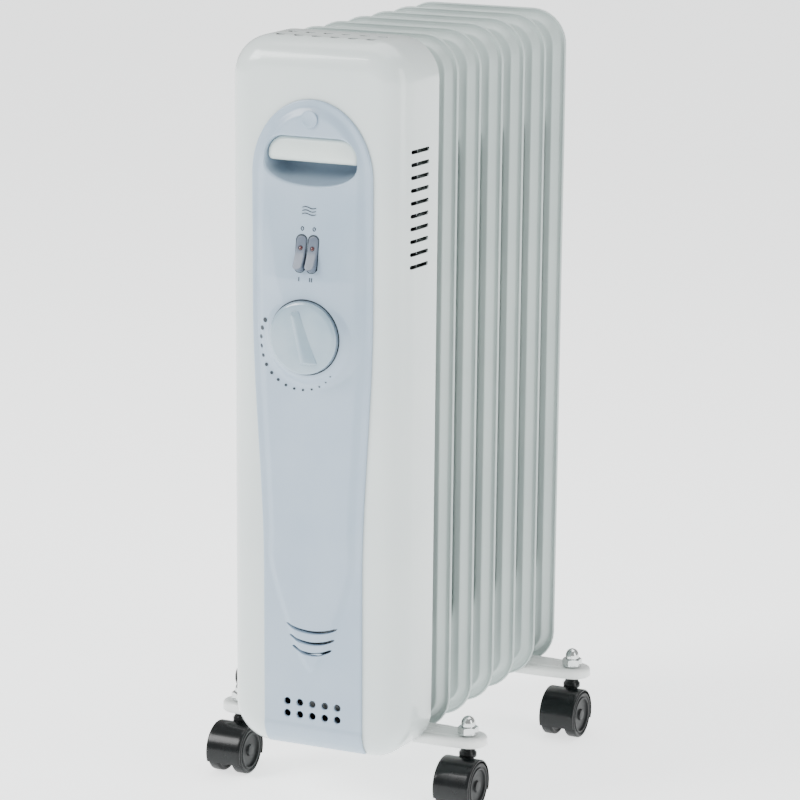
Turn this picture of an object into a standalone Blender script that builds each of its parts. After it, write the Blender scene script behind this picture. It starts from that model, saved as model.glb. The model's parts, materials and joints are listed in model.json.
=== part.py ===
# Oil filled radiator heater: seven pressed steel fins, a control housing and two castor brackets.
# Metres, +Z up, the control panel faces -Y, the floor is z = 0.
# Shapes are drawn with y = 0 on the front fin's seam; one empty then centres the whole heater.
from math import acos, atan, cos, hypot, pi, radians, sin, sqrt

import bmesh
import bpy
from mathutils import Matrix

# ---- driving dimensions ----
fin_count = 7
fin_pitch = 0.0442
fin_width = 0.156
fin_height = 0.580
fin_ground = 0.050          # floor to the fins' lower edge
fin_corner = 0.031
flange_width = 0.008        # welded seam flange round a fin
sheet = 0.0008              # pressed sheet of a fin
neck_wall = 0.0012
neck_sides = 12
channel_rise = 0.0085       # half thickness over an oil channel
web_rise = 0.0022           # half thickness over the web between channels
header_rise = 0.0135        # half thickness over the top and bottom headers
header_length = 0.096
neck_radius = 0.018
neck_inset = 0.058          # fin end to the neck's axis

housing_wall = 0.0012
housing_margin = 0.0020     # housing outside past the fins' outline
housing_depth = 0.0605      # front fin's seam to the housing face, at the top
housing_lean = 0.0085       # how much less at the bottom
housing_taper = 0.0015      # narrowing from the rear edge to the front, each side
housing_rear = 0.0032       # housing edge behind the front fin's seam
housing_edge = 0.0240       # radius of the housing's front edges

panel_thickness = 0.0022
panel_half_top = 0.0530
panel_half_bottom = 0.0440
panel_arch_height = 0.062
panel_top_drop = 0.0465     # housing top to the panel's arch top
panel_lift = 0.0030         # how far the raised tongue stands out
panel_narrow_drop = 0.1655  # panel top to where it starts to narrow
panel_narrow_length = 0.220
tongue_tip_rise = 0.070     # housing bottom to the tip of the raised tongue
tongue_length = 0.117       # tip to where the tongue is as wide as the panel
tongue_border = 0.006       # flat border beside the tongue
tongue_ramp = 0.008
swell_rise = 0.0090         # how far the tongue swells out between the recess and the knob
swell_drop = 0.0665         # panel top to where it starts to swell
swell_length = 0.0750
swell_power = 1.75
swell_foot = 0.0140         # it falls back over this height below the knob

recess_width = 0.081
recess_height = 0.038
recess_drop = 0.0490        # panel top to the recess centre
recess_corner = 0.0165
pocket_clearance = 0.0007   # pocket to the heat shield behind it
pocket_wall = 0.0016
grip_depth = 0.011
grip_setback = 0.0045

rocker_width = 0.0088
rocker_length = 0.0280
rocker_pitch = 0.0104
rocker_drop = 0.1220        # panel top to the rockers
rocker_tilt = 12.0          # degrees each way from the middle
lens_radius = 0.0017

knob_radius = 0.0293
knob_depth = 0.0058
knob_drop = 0.1880          # panel top to the knob
shaft_radius = 0.0030
thermostat_radius = 0.0170
thermostat_depth = 0.0150

vent_radius = 0.0032
vent_pitch = 0.0113
slot_count = 10
slot_pitch = 0.01015
slot_length = 0.0290
slot_width = 0.0032
slot_drop = 0.0855          # housing top to the uppermost side slot
slot_setback = 0.0330       # housing face to the slots' middle

bracket_clearance = 0.0046  # fin's seam to the bracket between two fins
bracket_overhang = 0.0161   # bracket past the castor's stud
bracket_tip_radius = 0.0150
bracket_lap = 0.0090        # bracket top above the fins' lower edge
bracket_skirt = 0.0080
bracket_sheet = 0.0020
rod_radius = 0.0030         # of the U-bolts

castor_reach = 0.0269       # castor's stud past the fins' side
castor_trail = 0.0130
wheel_radius = 0.0200
wheel_width = 0.0100
hood_web = 0.0110           # the hood's middle, between the wheels
hood_wall = 0.0014
hood_clearance = 0.0001     # between the facets of the hood and of the wheels
neck_outer = 0.0056
stud_radius = 0.0040
pin_radius = 0.0030
axle_radius = 0.0025

element_radius = 0.0033
element_spread = 0.0160     # between the element's two legs
element_flange_radius = 0.0230
element_flange_thickness = 0.0030

edge_steps = 4              # facets of the housing's rounded front edge
panel_row_count = 25        # facets up the panel's straight part
edge_clearance = 0.0007     # extra room under the panel's curved foot
panel_lip = 0.007           # panel edge past the window behind it
panel_foot = 0.0040         # housing's underside to the panel's lower edge
top_vent_count = 6
top_vent_pitch = 0.0158
top_vent_length = 0.0085
top_vent_setbacks = (0.0235, 0.0440)
gland_radius = 0.0070
gland_clearance = 0.0015    # behind the heat shield
gland_rise = 0.047          # housing bottom to the gland

cap_radius = 0.0070
cap_drop = 0.0155           # panel top to the cap
vent_columns = 5
vent_rises = (0.0425, 0.0323)           # housing bottom to the vents
slit_rises = (0.1090, 0.0995, 0.0905)
slit_halves = (0.0225, 0.0200, 0.0175)
slit_sag = 0.0048
pocket_step = 0.0008        # the pocket's upper part is this much deeper
pocket_rise = 0.0075        # how far the pocket goes up behind the grip
rocker_play = 0.0003
rocker_swing = 0.0014       # room for the rocker's ends as it tips
lens_height = 0.0040        # lens above the rocker's pivot
switch_depth = 0.0150
knob_rest = 15.0            # pointer from straight down, degrees
wedge_width = 0.0090
wedge_length = 0.0440
wedge_proud = 0.0026
thermostat_clearance = 0.0021
shield_air = 0.00305        # element flange to the heat shield
shield_sheet = 0.0008
shield_clearance = 0.0008
bracket_shoulder = 0.0020   # parallel middle past the fins' side
neck_rise = 0.0120          # axle to the castor neck's lower end
pin_rise = 0.0060           # axle to the castor pin's lower end
stud_shoulder = 0.0020      # neck's lower end to the stud's shoulder
hood_from = -22.0           # degrees below level where the hood ends
hood_facets = 9
wheel_facets = 18

gap = 0.0003                # between pieces that touch
running = 0.0004            # beside a wheel

# ---- places that follow from them ----
fin_middle = fin_ground + fin_height / 2
lower_neck = fin_ground + neck_inset
upper_neck = fin_ground + fin_height - neck_inset
housing_half = fin_width / 2 + housing_margin
housing_half_height = fin_height / 2 + housing_margin
housing_bottom = fin_middle - housing_half_height
housing_top = fin_middle + housing_half_height
panel_top = housing_top - panel_top_drop
arch_base = panel_top - panel_arch_height
rear_seam = (fin_count - 1) * fin_pitch
rear_face = rear_seam + header_rise
boss_front = -(fin_pitch / 2 - gap / 2)
bracket_y = (fin_pitch / 2, rear_seam - fin_pitch / 2)
bracket_width = fin_pitch - 2 * bracket_clearance
castor_x = fin_width / 2 + castor_reach
bracket_half_length = castor_x + bracket_overhang
bracket_straight = fin_width / 2 + bracket_shoulder
bracket_top = fin_ground + bracket_lap
recess_height_at = panel_top - recess_drop
rocker_height_at = panel_top - rocker_drop
knob_height_at = panel_top - knob_drop
cap_height_at = panel_top - cap_drop
tongue_tip_height = housing_bottom + tongue_tip_rise
shield_y = boss_front - gap - element_flange_thickness - shield_air - shield_sheet / 2
gland_y = shield_y + shield_sheet / 2 + gland_radius + gland_clearance
gland_height = housing_bottom + gland_rise
neck_foot = wheel_radius + neck_rise
pin_foot = wheel_radius + pin_rise


def housing_face(z):
    """y of the housing's flat front at height z, which leans back towards the bottom."""
    share = (housing_top - z) / (housing_top - housing_bottom)
    return -(housing_depth - housing_lean * share)


def lean(y, z):
    """Bring a depth drawn for the housing's top to its place at height z."""
    share = (housing_face(z) - housing_rear) / (-housing_depth - housing_rear)
    return housing_rear + (y - housing_rear) * share


def front_surface(z):
    """y of the housing's front at height z, with the rounded edge at the bottom."""
    drop = min(max(housing_bottom + housing_edge - z, 0.0), housing_edge)
    return lean(housing_edge - housing_depth - sqrt(housing_edge ** 2 - drop ** 2), z)


def panel_back(z):
    """y of the panel's back where it lies on the housing."""
    on_edge = z < housing_bottom + housing_edge - 0.0001
    return front_surface(z) - gap - (edge_clearance if on_edge else 0.0)


def swell(z):
    """How far the middle of the tongue stands past its lift at height z."""
    if z > knob_height_at:
        share = min(max((panel_top - swell_drop - z) / swell_length, 0.0), 1.0)
        return swell_rise * share ** swell_power
    share = min(max((z - knob_height_at + knob_radius) / swell_foot + 1, 0.0), 1.0)
    return swell_rise * share * share * (3 - 2 * share)


rocker_front = housing_face(rocker_height_at) - gap - panel_thickness - panel_lift - swell(rocker_height_at)
rocker_pivot = rocker_front + 0.0016
rocker_lean = atan((swell(rocker_height_at - 0.005) - swell(rocker_height_at + 0.005)) / 0.010)
knob_back = housing_face(knob_height_at + knob_radius) - 3 * gap - panel_thickness - panel_lift - swell_rise
knob_front = knob_back - knob_depth - wedge_proud
middle_y = (knob_front + rear_face) / 2
thermostat_front = housing_face(knob_height_at) + thermostat_clearance

# ---- scene ----
for old in list(bpy.data.objects):
    bpy.data.objects.remove(old, do_unlink=True)
parts = bpy.data.collections.new("oil_radiator_heater")
workshop = bpy.data.collections.new("workshop")
bpy.context.scene.collection.children.link(parts)
bpy.context.scene.collection.children.link(workshop)
frame = bpy.data.objects.new("heater_frame", None)
frame.location = (0.0, -middle_y, 0.0)
parts.objects.link(frame)


def material(name, colour, roughness, metallic=0.0):
    made = bpy.data.materials.new(name)
    made.use_nodes = True
    shader = made.node_tree.nodes["Principled BSDF"]
    shader.inputs["Base Color"].default_value = (*colour, 1.0)
    shader.inputs["Roughness"].default_value = roughness
    shader.inputs["Metallic"].default_value = metallic
    return made


fin_enamel = material("fin_enamel", (0.56, 0.60, 0.60), 0.35)
housing_enamel = material("housing_enamel", (0.74, 0.79, 0.79), 0.25)
panel_plastic = material("panel_plastic", (0.55, 0.62, 0.72), 0.40)
white_plastic = material("white_plastic", (0.72, 0.79, 0.77), 0.35)
knob_plastic = material("knob_plastic", (0.52, 0.61, 0.66), 0.25)
rocker_plastic = material("rocker_plastic", (0.31, 0.34, 0.40), 0.40)
red_lens = material("red_lens", (0.20, 0.01, 0.02), 0.15)
black_plastic = material("black_plastic", (0.010, 0.014, 0.016), 0.35)
zinc = material("zinc", (0.60, 0.62, 0.62), 0.28, 1.0)
steel = material("steel", (0.50, 0.51, 0.52), 0.40, 1.0)
bracket_enamel = material("bracket_enamel", (0.80, 0.84, 0.82), 0.30)
brass = material("brass", (0.55, 0.40, 0.16), 0.35, 1.0)


def place(obj, look, parent=frame, smooth=35.0):
    """Put a finished object in the parts collection, under the heater's frame."""
    for holder in list(obj.users_collection):
        holder.objects.unlink(obj)
    parts.objects.link(obj)
    obj.parent = parent
    obj.data.materials.clear()
    obj.data.materials.append(look)
    if obj.type == "MESH":
        obj.data.shade_smooth()
        obj.data.set_sharp_from_angle(angle=radians(smooth))
    return obj


def from_bmesh(name, bm):
    mesh = bpy.data.meshes.new(name)
    bm.to_mesh(mesh)
    bm.free()
    obj = bpy.data.objects.new(name, mesh)
    workshop.objects.link(obj)
    return obj


def as_mesh(curve_object):
    """Turn a curve object into a mesh object, with its caps welded on."""
    bpy.context.view_layer.update()
    evaluated = curve_object.evaluated_get(bpy.context.evaluated_depsgraph_get())
    mesh = bpy.data.meshes.new_from_object(evaluated)
    bm = bmesh.new()
    bm.from_mesh(mesh)
    bmesh.ops.remove_doubles(bm, verts=bm.verts, dist=1e-6)
    bm.to_mesh(mesh)
    bm.free()
    name = curve_object.name
    made = bpy.data.objects.new(name, mesh)
    made.matrix_world = curve_object.matrix_world.copy()
    bpy.data.objects.remove(curve_object, do_unlink=True)
    made.name = name
    workshop.objects.link(made)
    return made


def plate(name, outlines, thickness, turn=Matrix(), resolution=1):
    """A flat piece from one closed outline or several, in the XY plane and then turned."""
    curve = bpy.data.curves.new(name, "CURVE")
    curve.dimensions = "2D"
    curve.fill_mode = "BOTH"
    curve.extrude = thickness / 2
    curve.resolution_u = resolution
    for outline in outlines:
        spline = curve.splines.new("POLY")
        spline.points.add(len(outline) - 1)
        for point, (x, y) in zip(spline.points, outline):
            point.co = (x, y, 0.0, 1.0)
        spline.use_cyclic_u = True
    obj = bpy.data.objects.new(name, curve)
    workshop.objects.link(obj)
    made = as_mesh(obj)
    made.data.transform(turn)
    return made


def rod(name, points, radius, sides_step=0):
    """A round wire along a list of points; its section has 4 + 4 * sides_step sides."""
    curve = bpy.data.curves.new(name, "CURVE")
    curve.dimensions = "3D"
    curve.bevel_depth = radius
    curve.bevel_resolution = sides_step
    curve.use_fill_caps = True
    spline = curve.splines.new("POLY")
    spline.points.add(len(points) - 1)
    for point, place_at in zip(spline.points, points):
        point.co = (*place_at, 1.0)
    obj = bpy.data.objects.new(name, curve)
    workshop.objects.link(obj)
    return obj


def turned(name, profile, steps, closed=False):
    """A shape turned about Z from (radius, z) points, listed down its outer side."""
    bm = bmesh.new()
    made = [bm.verts.new((r, 0.0, z)) for r, z in profile]
    for first, second in zip(made, made[1:]):
        bm.edges.new((first, second))
    if closed:
        bm.edges.new((made[-1], made[0]))
    obj = from_bmesh(name, bm)
    screw = obj.modifiers.new("turn", "SCREW")
    screw.steps = steps
    screw.render_steps = steps
    screw.use_merge_vertices = True
    screw.merge_threshold = 1e-6
    screw.use_smooth_shade = True
    return obj


def settled(obj):
    """The same object with its modifiers applied."""
    bpy.context.view_layer.update()
    evaluated = obj.evaluated_get(bpy.context.evaluated_depsgraph_get())
    mesh = bpy.data.meshes.new_from_object(evaluated)
    obj.modifiers.clear()
    obj.data = mesh
    return obj


def cylinder(name, radius, length, sides, turn=Matrix()):
    """A cylinder about Z, centred, and then turned."""
    bm = bmesh.new()
    bmesh.ops.create_cone(bm, cap_ends=True, segments=sides, radius1=radius, radius2=radius, depth=length)
    bm.transform(turn)
    return from_bmesh(name, bm)


def box(name, size, centre, bevel=0.0, segments=1):
    bm = bmesh.new()
    bmesh.ops.create_cube(bm, size=1.0, matrix=Matrix.Diagonal((*size, 1.0)))
    if bevel:
        bmesh.ops.bevel(bm, geom=bm.edges[:], offset=bevel, segments=segments, affect="EDGES", profile=0.5)
    bm.transform(Matrix.Translation(centre))
    return from_bmesh(name, bm)


def combine(target, tool, operation="DIFFERENCE"):
    """Cut the target with a tool, or join the tool to it, and drop the tool."""
    modifier = target.modifiers.new("combine", "BOOLEAN")
    modifier.operation = operation
    modifier.solver = "EXACT"
    modifier.object = tool
    settled(target)
    bpy.data.objects.remove(tool, do_unlink=True)
    return target


def cut(target, *tools):
    for tool in tools:
        combine(target, tool)
    return target


def join(target, *tools):
    for tool in tools:
        combine(target, tool, "UNION")
    return target


def group(name, pieces):
    """Several separate solids as one tool."""
    bm = bmesh.new()
    for piece in pieces:
        bm.from_mesh(piece.data)
        bpy.data.objects.remove(piece, do_unlink=True)
    return from_bmesh(name, bm)


along_x = Matrix.Rotation(pi / 2, 4, "Y")      # Z axis turned to +X
along_y = Matrix.Rotation(-pi / 2, 4, "X")     # Z axis turned to +Y
facing_front = Matrix.Rotation(pi / 2, 4, "X")  # plate in XZ, its Z axis turned to -Y


def at(x, y, z):
    return Matrix.Translation((x, y, z))


# ---- rounded outlines as right halves, bottom to top ----
def half_outline(half_width, half_height, corner, corner_steps, stations=()):
    """Right half of a rounded rectangle in XZ, with extra points at the given heights."""
    corner = max(corner, 0.001)
    points = []
    for step in range(corner_steps + 1):
        angle = -pi / 2 + pi / 2 * step / corner_steps
        points.append((half_width - corner + corner * cos(angle), corner - half_height + corner * sin(angle)))
    points += [(half_width, z) for z in stations]
    for step in range(corner_steps + 1):
        angle = pi / 2 * step / corner_steps
        points.append((half_width - corner + corner * cos(angle), half_height - corner + corner * sin(angle)))
    return points


def both_sides(half):
    """A whole loop from its right half."""
    return half + [(-x, *rest) for x, *rest in reversed(half)]


def skin(name, loops):
    """A closed solid through loops of (x, y, z) points. Its end caps join left and right points."""
    bm = bmesh.new()
    rings = [[bm.verts.new(point) for point in loop] for loop in loops]
    count = len(rings[0])
    for ring, following in zip(rings, rings[1:]):
        for i in range(count):
            j = (i + 1) % count
            bm.faces.new((ring[i], ring[j], following[j], following[i]))
    for ring in (rings[0], rings[-1]):
        for i in range(count // 2 - 1):
            bm.faces.new((ring[i], ring[i + 1], ring[count - 2 - i], ring[count - 1 - i]))
    bmesh.ops.recalc_face_normals(bm, faces=bm.faces)
    if bm.calc_volume(signed=True) < 0:
        bmesh.ops.reverse_faces(bm, faces=bm.faces)
    return from_bmesh(name, bm)


# ---- fins ----
def fin_profile(wall):
    """Insets from the fin's edge and half thicknesses there, as (inset, side, header)."""
    if wall:
        start = [(flange_width + 0.0015, 0.0003, 0.0003)]
    else:
        start = [(0.0, 0.0011, 0.0011), (flange_width, 0.0011, 0.0011)]
    crest = channel_rise - wall
    return start + [
        (flange_width + 0.0048 + wall, crest, crest + 0.0015),
        (flange_width + 0.0165, web_rise - wall, header_rise - wall),
        (fin_width / 2 - 0.016, crest - 0.001, header_rise - wall),
    ]


def fin_form(name, wall=0.0):
    """The fin's outer form, or with a wall the oil space inside it."""
    station = fin_height / 2 - header_length
    loops = []
    for inset, side, header in fin_profile(wall):
        half = half_outline(fin_width / 2 - inset, fin_height / 2 - inset, fin_corner - inset, 3,
                            (-station, station))
        loop = []
        for x, z in both_sides(half):
            rise = header if abs(z) > station + 0.001 else side
            loop.append((x, rise, z))
        loops.append(loop)
    back = [[(x, y, z) for x, y, z in loop] for loop in loops]
    front = [[(x, -y, z) for x, y, z in loop] for loop in reversed(loops)]
    return skin(name, front + back)


def fin_mesh(name, sides):
    """A hollow fin about its own centre, with open necks on the given sides (-1 front, 1 rear)."""
    body = fin_form(name)
    hollow = fin_form(f"{name}_oil", sheet)
    root = header_rise - 0.004
    reach = fin_pitch / 2 - gap / 2
    for way in sides:
        for height in (lower_neck - fin_middle, upper_neck - fin_middle):
            neck = cylinder("neck", neck_radius, reach - root, neck_sides,
                            at(0, way * (root + reach) / 2, height) @ along_y)
            join(body, neck)
            bore_from, bore_to = root - 0.0033, reach + 0.002
            bore = cylinder("bore", neck_radius - neck_wall, bore_to - bore_from, neck_sides,
                            at(0, way * (bore_from + bore_to) / 2, height) @ along_y)
            join(hollow, bore)
    return cut(body, hollow)


def fins():
    through = fin_mesh("fin_through", (-1, 1))
    blind = fin_mesh("fin_blind", (-1,))
    for index in range(fin_count):
        pattern = blind if index == fin_count - 1 else through
        made = bpy.data.objects.new(f"fin_{index}", pattern.data)
        made.location = (0.0, index * fin_pitch, fin_middle)
        place(made, fin_enamel)
    for pattern in (through, blind):
        bpy.data.objects.remove(pattern, do_unlink=True)


fins()


# ---- control housing ----
def housing_loops(wall):
    """Rounded loops from the rear edge to the front, set in by the wall."""
    steps = edge_steps
    stations = (-0.7 * housing_half_height, 0.0, 0.7 * housing_half_height)
    rows = [(housing_rear, 0.0, 0.0)]
    for step in range(steps + 1):
        angle = pi / 2 * step / steps
        forward = housing_edge * sin(angle) - wall * sin(angle)
        inset = housing_edge * (1 - cos(angle)) + wall * cos(angle)
        rows.append((-(housing_depth - housing_edge) - forward, inset, housing_taper))
    rows[0] = (housing_rear, wall, 0.0)
    loops = []
    for y, inset, taper in rows:
        half = half_outline(housing_half - inset - taper, housing_half_height - inset,
                            fin_corner + housing_margin - inset, 5, stations)
        loop = []
        for x, z in both_sides(half):
            loop.append((x, lean(y, z + fin_middle), z + fin_middle))
        loops.append(loop)
    return loops


def obround(half_length, half_width, steps=3):
    """Outline of a slot along X."""
    points = []
    for centre, start in ((half_length - half_width, -pi / 2), (half_width - half_length, pi / 2)):
        for step in range(steps + 1):
            angle = start + pi * step / steps
            points.append((centre + half_width * cos(angle), half_width * sin(angle)))
    return points


def control_housing():
    shell = skin("control_housing", list(reversed(housing_loops(housing_wall))) + housing_loops(0.0))
    window = plate("window", [panel_outline(panel_lip)], 0.060, at(0, -housing_depth, 0) @ facing_front)
    top_vents = []
    for row in (0, 1):
        for number in range(top_vent_count):
            x = (number - (top_vent_count - 1) / 2) * top_vent_pitch
            slot = plate("top_vent", [obround(top_vent_length / 2, vent_radius * 0.9, 2)], 0.030,
                         at(x, top_vent_setbacks[row] - housing_depth, housing_top))
            top_vents.append(slot)
    side_slots = []
    for side in (-1, 1):
        for number in range(slot_count):
            z = housing_top - slot_drop - number * slot_pitch
            slot = plate("side_slot", [obround(slot_length / 2, slot_width / 2, 2)], 0.030,
                         at(side * housing_half, slot_setback - housing_depth, z)
                         @ Matrix.Rotation(pi / 2, 4, "Z") @ facing_front)
            side_slots.append(slot)
    gland_hole = cylinder("gland_hole", gland_radius + gap, 0.02, 16,
                          at(-housing_half, gland_y, gland_height) @ along_x)
    cut(shell, window, group("vents", top_vents + side_slots), gland_hole)
    place(shell, housing_enamel)


# ---- control panel ----
def panel_half_width(z):
    """Half width of the panel at height z, straight-sided below and a round arch above."""
    widest = panel_top - panel_narrow_drop
    share = min(max(1 - (widest - z) / panel_narrow_length, 0.0), 1.0)
    share = share * share * (3 - 2 * share)
    half = panel_half_bottom + (panel_half_top - panel_half_bottom) * share
    if z > arch_base:
        rise = min((z - arch_base) / panel_arch_height, 1.0)
        half = panel_half_top * sqrt(max(1 - rise * rise, 0.0))
    return half


def panel_rows():
    """Heights at which the panel's edge has a point, bottom to top."""
    rows = [housing_bottom + panel_foot]
    rows += [housing_bottom + housing_edge * (1 - cos(pi / 2 * k / edge_steps)) for k in (2, 3, 4)]
    straight = arch_base - rows[-1]
    rows += [rows[-1] + straight * k / panel_row_count for k in range(1, panel_row_count + 1)]
    rows += [arch_base + panel_arch_height * sin(radians(a)) for a in (17, 34, 50, 64, 75, 84)]
    return rows


def inset_edge(half, inset):
    """The right half of the panel's edge moved inwards along its normals."""
    moved = []
    for i, (x, z) in enumerate(half):
        before, after = half[max(i - 1, 0)], half[min(i + 1, len(half) - 1)]
        dx, dz = after[0] - before[0], after[1] - before[1]
        length = hypot(dx, dz)
        raised = 0.4 * inset * max(1 - (z - half[0][1]) / 0.030, 0.0)
        drop = inset * dx / length if z > arch_base else 0.0
        moved.append((max(x - inset * dz / length, 0.002), z + drop + raised))
    return moved


def panel_outline(inset):
    """Closed outline in XZ of the window behind the panel."""
    half = [(panel_half_width(z) - inset, z) for z in panel_rows() if z > housing_bottom + housing_edge]
    half = [(x, z) for x, z in half if x > 0.012]
    return both_sides(half)


def tongue(x, z):
    """0 to 1: how far the raised tongue stands at a point of the panel."""
    share = min(max((z - tongue_tip_height) / tongue_length, 0.0), 1.0)
    reach = (panel_half_width(z) - tongue_border) * sqrt(share)
    side = min(max((reach - abs(x)) / tongue_ramp, 0.0), 1.0)
    top = min(max((panel_top - 0.004 - z) / 0.010, 0.0), 1.0)
    return side * top


def control_panel():
    rows = panel_rows()
    edge = [(panel_half_width(z), z) for z in rows]
    outer, inner = [], []
    for inset, lift, share in ((0.0, 0.0, 0.0), (0.0012, 0.0016, 0.0), (0.012, panel_thickness, 0.0),
                               (0.030, panel_thickness, 1.0)):
        half = inset_edge(edge, inset)
        outer.append([(x, panel_back(z) - lift - panel_lift * tongue(x, z) - share * swell(z), z)
                      for x, z in both_sides(half)])
        if inset != 0.0012:
            inner.append([(x, panel_back(z) - panel_lift * tongue(x, z) * 0.9 - share * swell(z), z)
                          for x, z in both_sides(inset_edge(edge, max(inset, 0.0015)))])
    panel = skin("control_panel", list(reversed(inner)) + outer)
    join(panel, pocket("pocket_outside", pocket_wall))
    cut(panel, pocket("pocket_inside", 0.0))
    openings = []
    for side in (-1, 1):
        openings.append(plate("rocker_window", [upright_slot(rocker_width / 2 + rocker_play,
                                                             rocker_length / 2 + rocker_swing)], 0.04,
                              at(side * rocker_pitch / 2, -housing_depth, rocker_height_at) @ facing_front))
    openings.append(cylinder("shaft_hole", shaft_radius + 0.0015, 0.04, 12,
                             at(0, -housing_depth, knob_height_at) @ along_y))
    openings.append(cylinder("cap_hole", cap_radius - 0.0015, 0.04, 12,
                             at(0, -housing_depth, cap_height_at) @ along_y))
    for number in range(vent_columns):
        for row in (0, 1):
            x = (number - (vent_columns - 1) / 2) * vent_pitch
            openings.append(cylinder("vent", vent_radius, 0.04, 8,
                                     at(x, -housing_depth, housing_bottom + vent_rises[row]) @ along_y))
    for rise, half in zip(slit_rises, slit_halves):
        openings.append(plate("slit", [slit(half)], 0.04,
                              at(0, -housing_depth, housing_bottom + rise) @ facing_front))
    cut(panel, group("openings", openings))
    place(panel, panel_plastic)


def upright_slot(half_width, half_length):
    """Rounded rectangle in XY, longer along Y."""
    half = half_outline(half_width, half_length, half_width * 0.8, 2)
    return both_sides(half)


def slit(half):
    """A thin slot that sags in the middle, as a closed outline in XY."""
    steps, thickness = 6, 0.0018
    upper, lower = [], []
    for step in range(steps + 1):
        x = half * (2 * step / steps - 1)
        sag = slit_sag * (1 - (x / half) ** 2)
        upper.append((x, -sag + thickness / 2))
        lower.append((x, -sag - thickness / 2))
    return lower + upper[::-1]


def recess_outline(inset, top=0.0):
    """The hand recess in XZ, with its top raised by the given amount."""
    half = half_outline(recess_width / 2 - inset, (recess_height + top) / 2 - inset, recess_corner - inset, 3)
    return [(x, z + recess_height_at + top / 2) for x, z in both_sides(half)]


def pocket(name, wall):
    """The pocket behind the hand recess; it rises behind the grip so that fingers can hook in."""
    mouth = panel_face(recess_height_at) + (0.0012 if wall else -0.010)
    back = shield_y - shield_sheet / 2 - pocket_clearance - pocket_step - pocket_wall + wall
    throat = grip_front + grip_depth - wall + 0.0004
    body = plate(name, [recess_outline(-wall)], back - mouth, at(0, (mouth + back) / 2, 0) @ facing_front)
    deeper = back + pocket_step
    upper = plate("upper", [recess_outline(0.0015 - wall, pocket_rise)], deeper - throat,
                  at(0, (throat + deeper) / 2, 0) @ facing_front)
    return join(body, upper)


def handle_grip():
    outline = [(x, max(z, recess_height_at - 0.0015)) for x, z in recess_outline(gap)]
    low = [(x, z) for x, z in outline if z <= recess_height_at - 0.0015]
    ends = [min(low), max(low)]
    outline = [point for point in outline if point[1] > recess_height_at - 0.0015] + ends
    outline = sorted(outline, key=lambda p: turn_angle(p[0], p[1] - recess_height_at - 0.004))
    grip = plate("handle_grip", [outline], grip_depth, at(0, grip_front + grip_depth / 2, 0) @ facing_front)
    rounded(grip, 0.0022, 2)
    place(grip, white_plastic)


def turn_angle(x, y):
    return acos(x / hypot(x, y)) * (1 if y >= 0 else -1)


def rounded(obj, width, segments, angle=40.0):
    modifier = obj.modifiers.new("rounding", "BEVEL")
    modifier.width = width
    modifier.segments = segments
    modifier.limit_method = "ANGLE"
    modifier.angle_limit = radians(angle)
    return obj


def panel_face(z):
    """y of the panel's raised surface at height z."""
    return front_surface(z) - gap - panel_thickness - panel_lift


grip_front = panel_face(recess_height_at) + grip_setback


def panel_cap():
    cap = turned("panel_cap", [(0, 0.0014), (cap_radius * 0.6, 0.0011), (cap_radius, 0.0),
                               (cap_radius - 0.0018, 0.0), (cap_radius - 0.0018, -0.0035), (0, -0.0035)], 12)
    settled(cap)
    cap.data.transform(facing_front)
    cap.location = (0, panel_face(cap_height_at) - gap, cap_height_at)
    place(cap, panel_plastic)


# ---- thermostat and switches ----
def thermostat():
    bore = knob_depth * 0.55
    knob = turned("thermostat_knob", [(0, knob_depth), (knob_radius * 0.45, knob_depth - 0.0002),
                                      (knob_radius * 0.78, knob_depth - 0.0009),
                                      (knob_radius * 0.94, knob_depth - 0.0022),
                                      (knob_radius, knob_depth - 0.0040), (knob_radius, 0),
                                      (shaft_radius + gap, 0), (shaft_radius + gap, bore), (0, bore)], 20)
    settled(knob)
    wedge = box("wedge", (wedge_width, wedge_length, 2 * wedge_proud), (0, 0, knob_depth), 0.0015)
    wedge.data.transform(Matrix.Rotation(radians(knob_rest), 4, "Z"))
    join(knob, wedge)
    knob.data.transform(facing_front)
    knob.location = (0, knob_back, knob_height_at)
    place(knob, knob_plastic)

    reach = 0.004
    shaft_end = thermostat_front + reach - gap
    shaft_start = knob_back - bore + gap
    shaft = cylinder("thermostat_shaft", shaft_radius, shaft_end - shaft_start, 10, along_y)
    shaft.location = (0, (shaft_start + shaft_end) / 2 - knob_back, 0)
    place(shaft, brass, knob)

    body = cylinder("thermostat_body", thermostat_radius, thermostat_depth, 18, along_y)
    hole = cylinder("hole", shaft_radius + gap, 2 * reach, 10, at(0, -thermostat_depth / 2, 0) @ along_y)
    cut(body, hole)
    body.location = (0, thermostat_front + thermostat_depth / 2, knob_height_at)
    place(body, steel)


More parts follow.
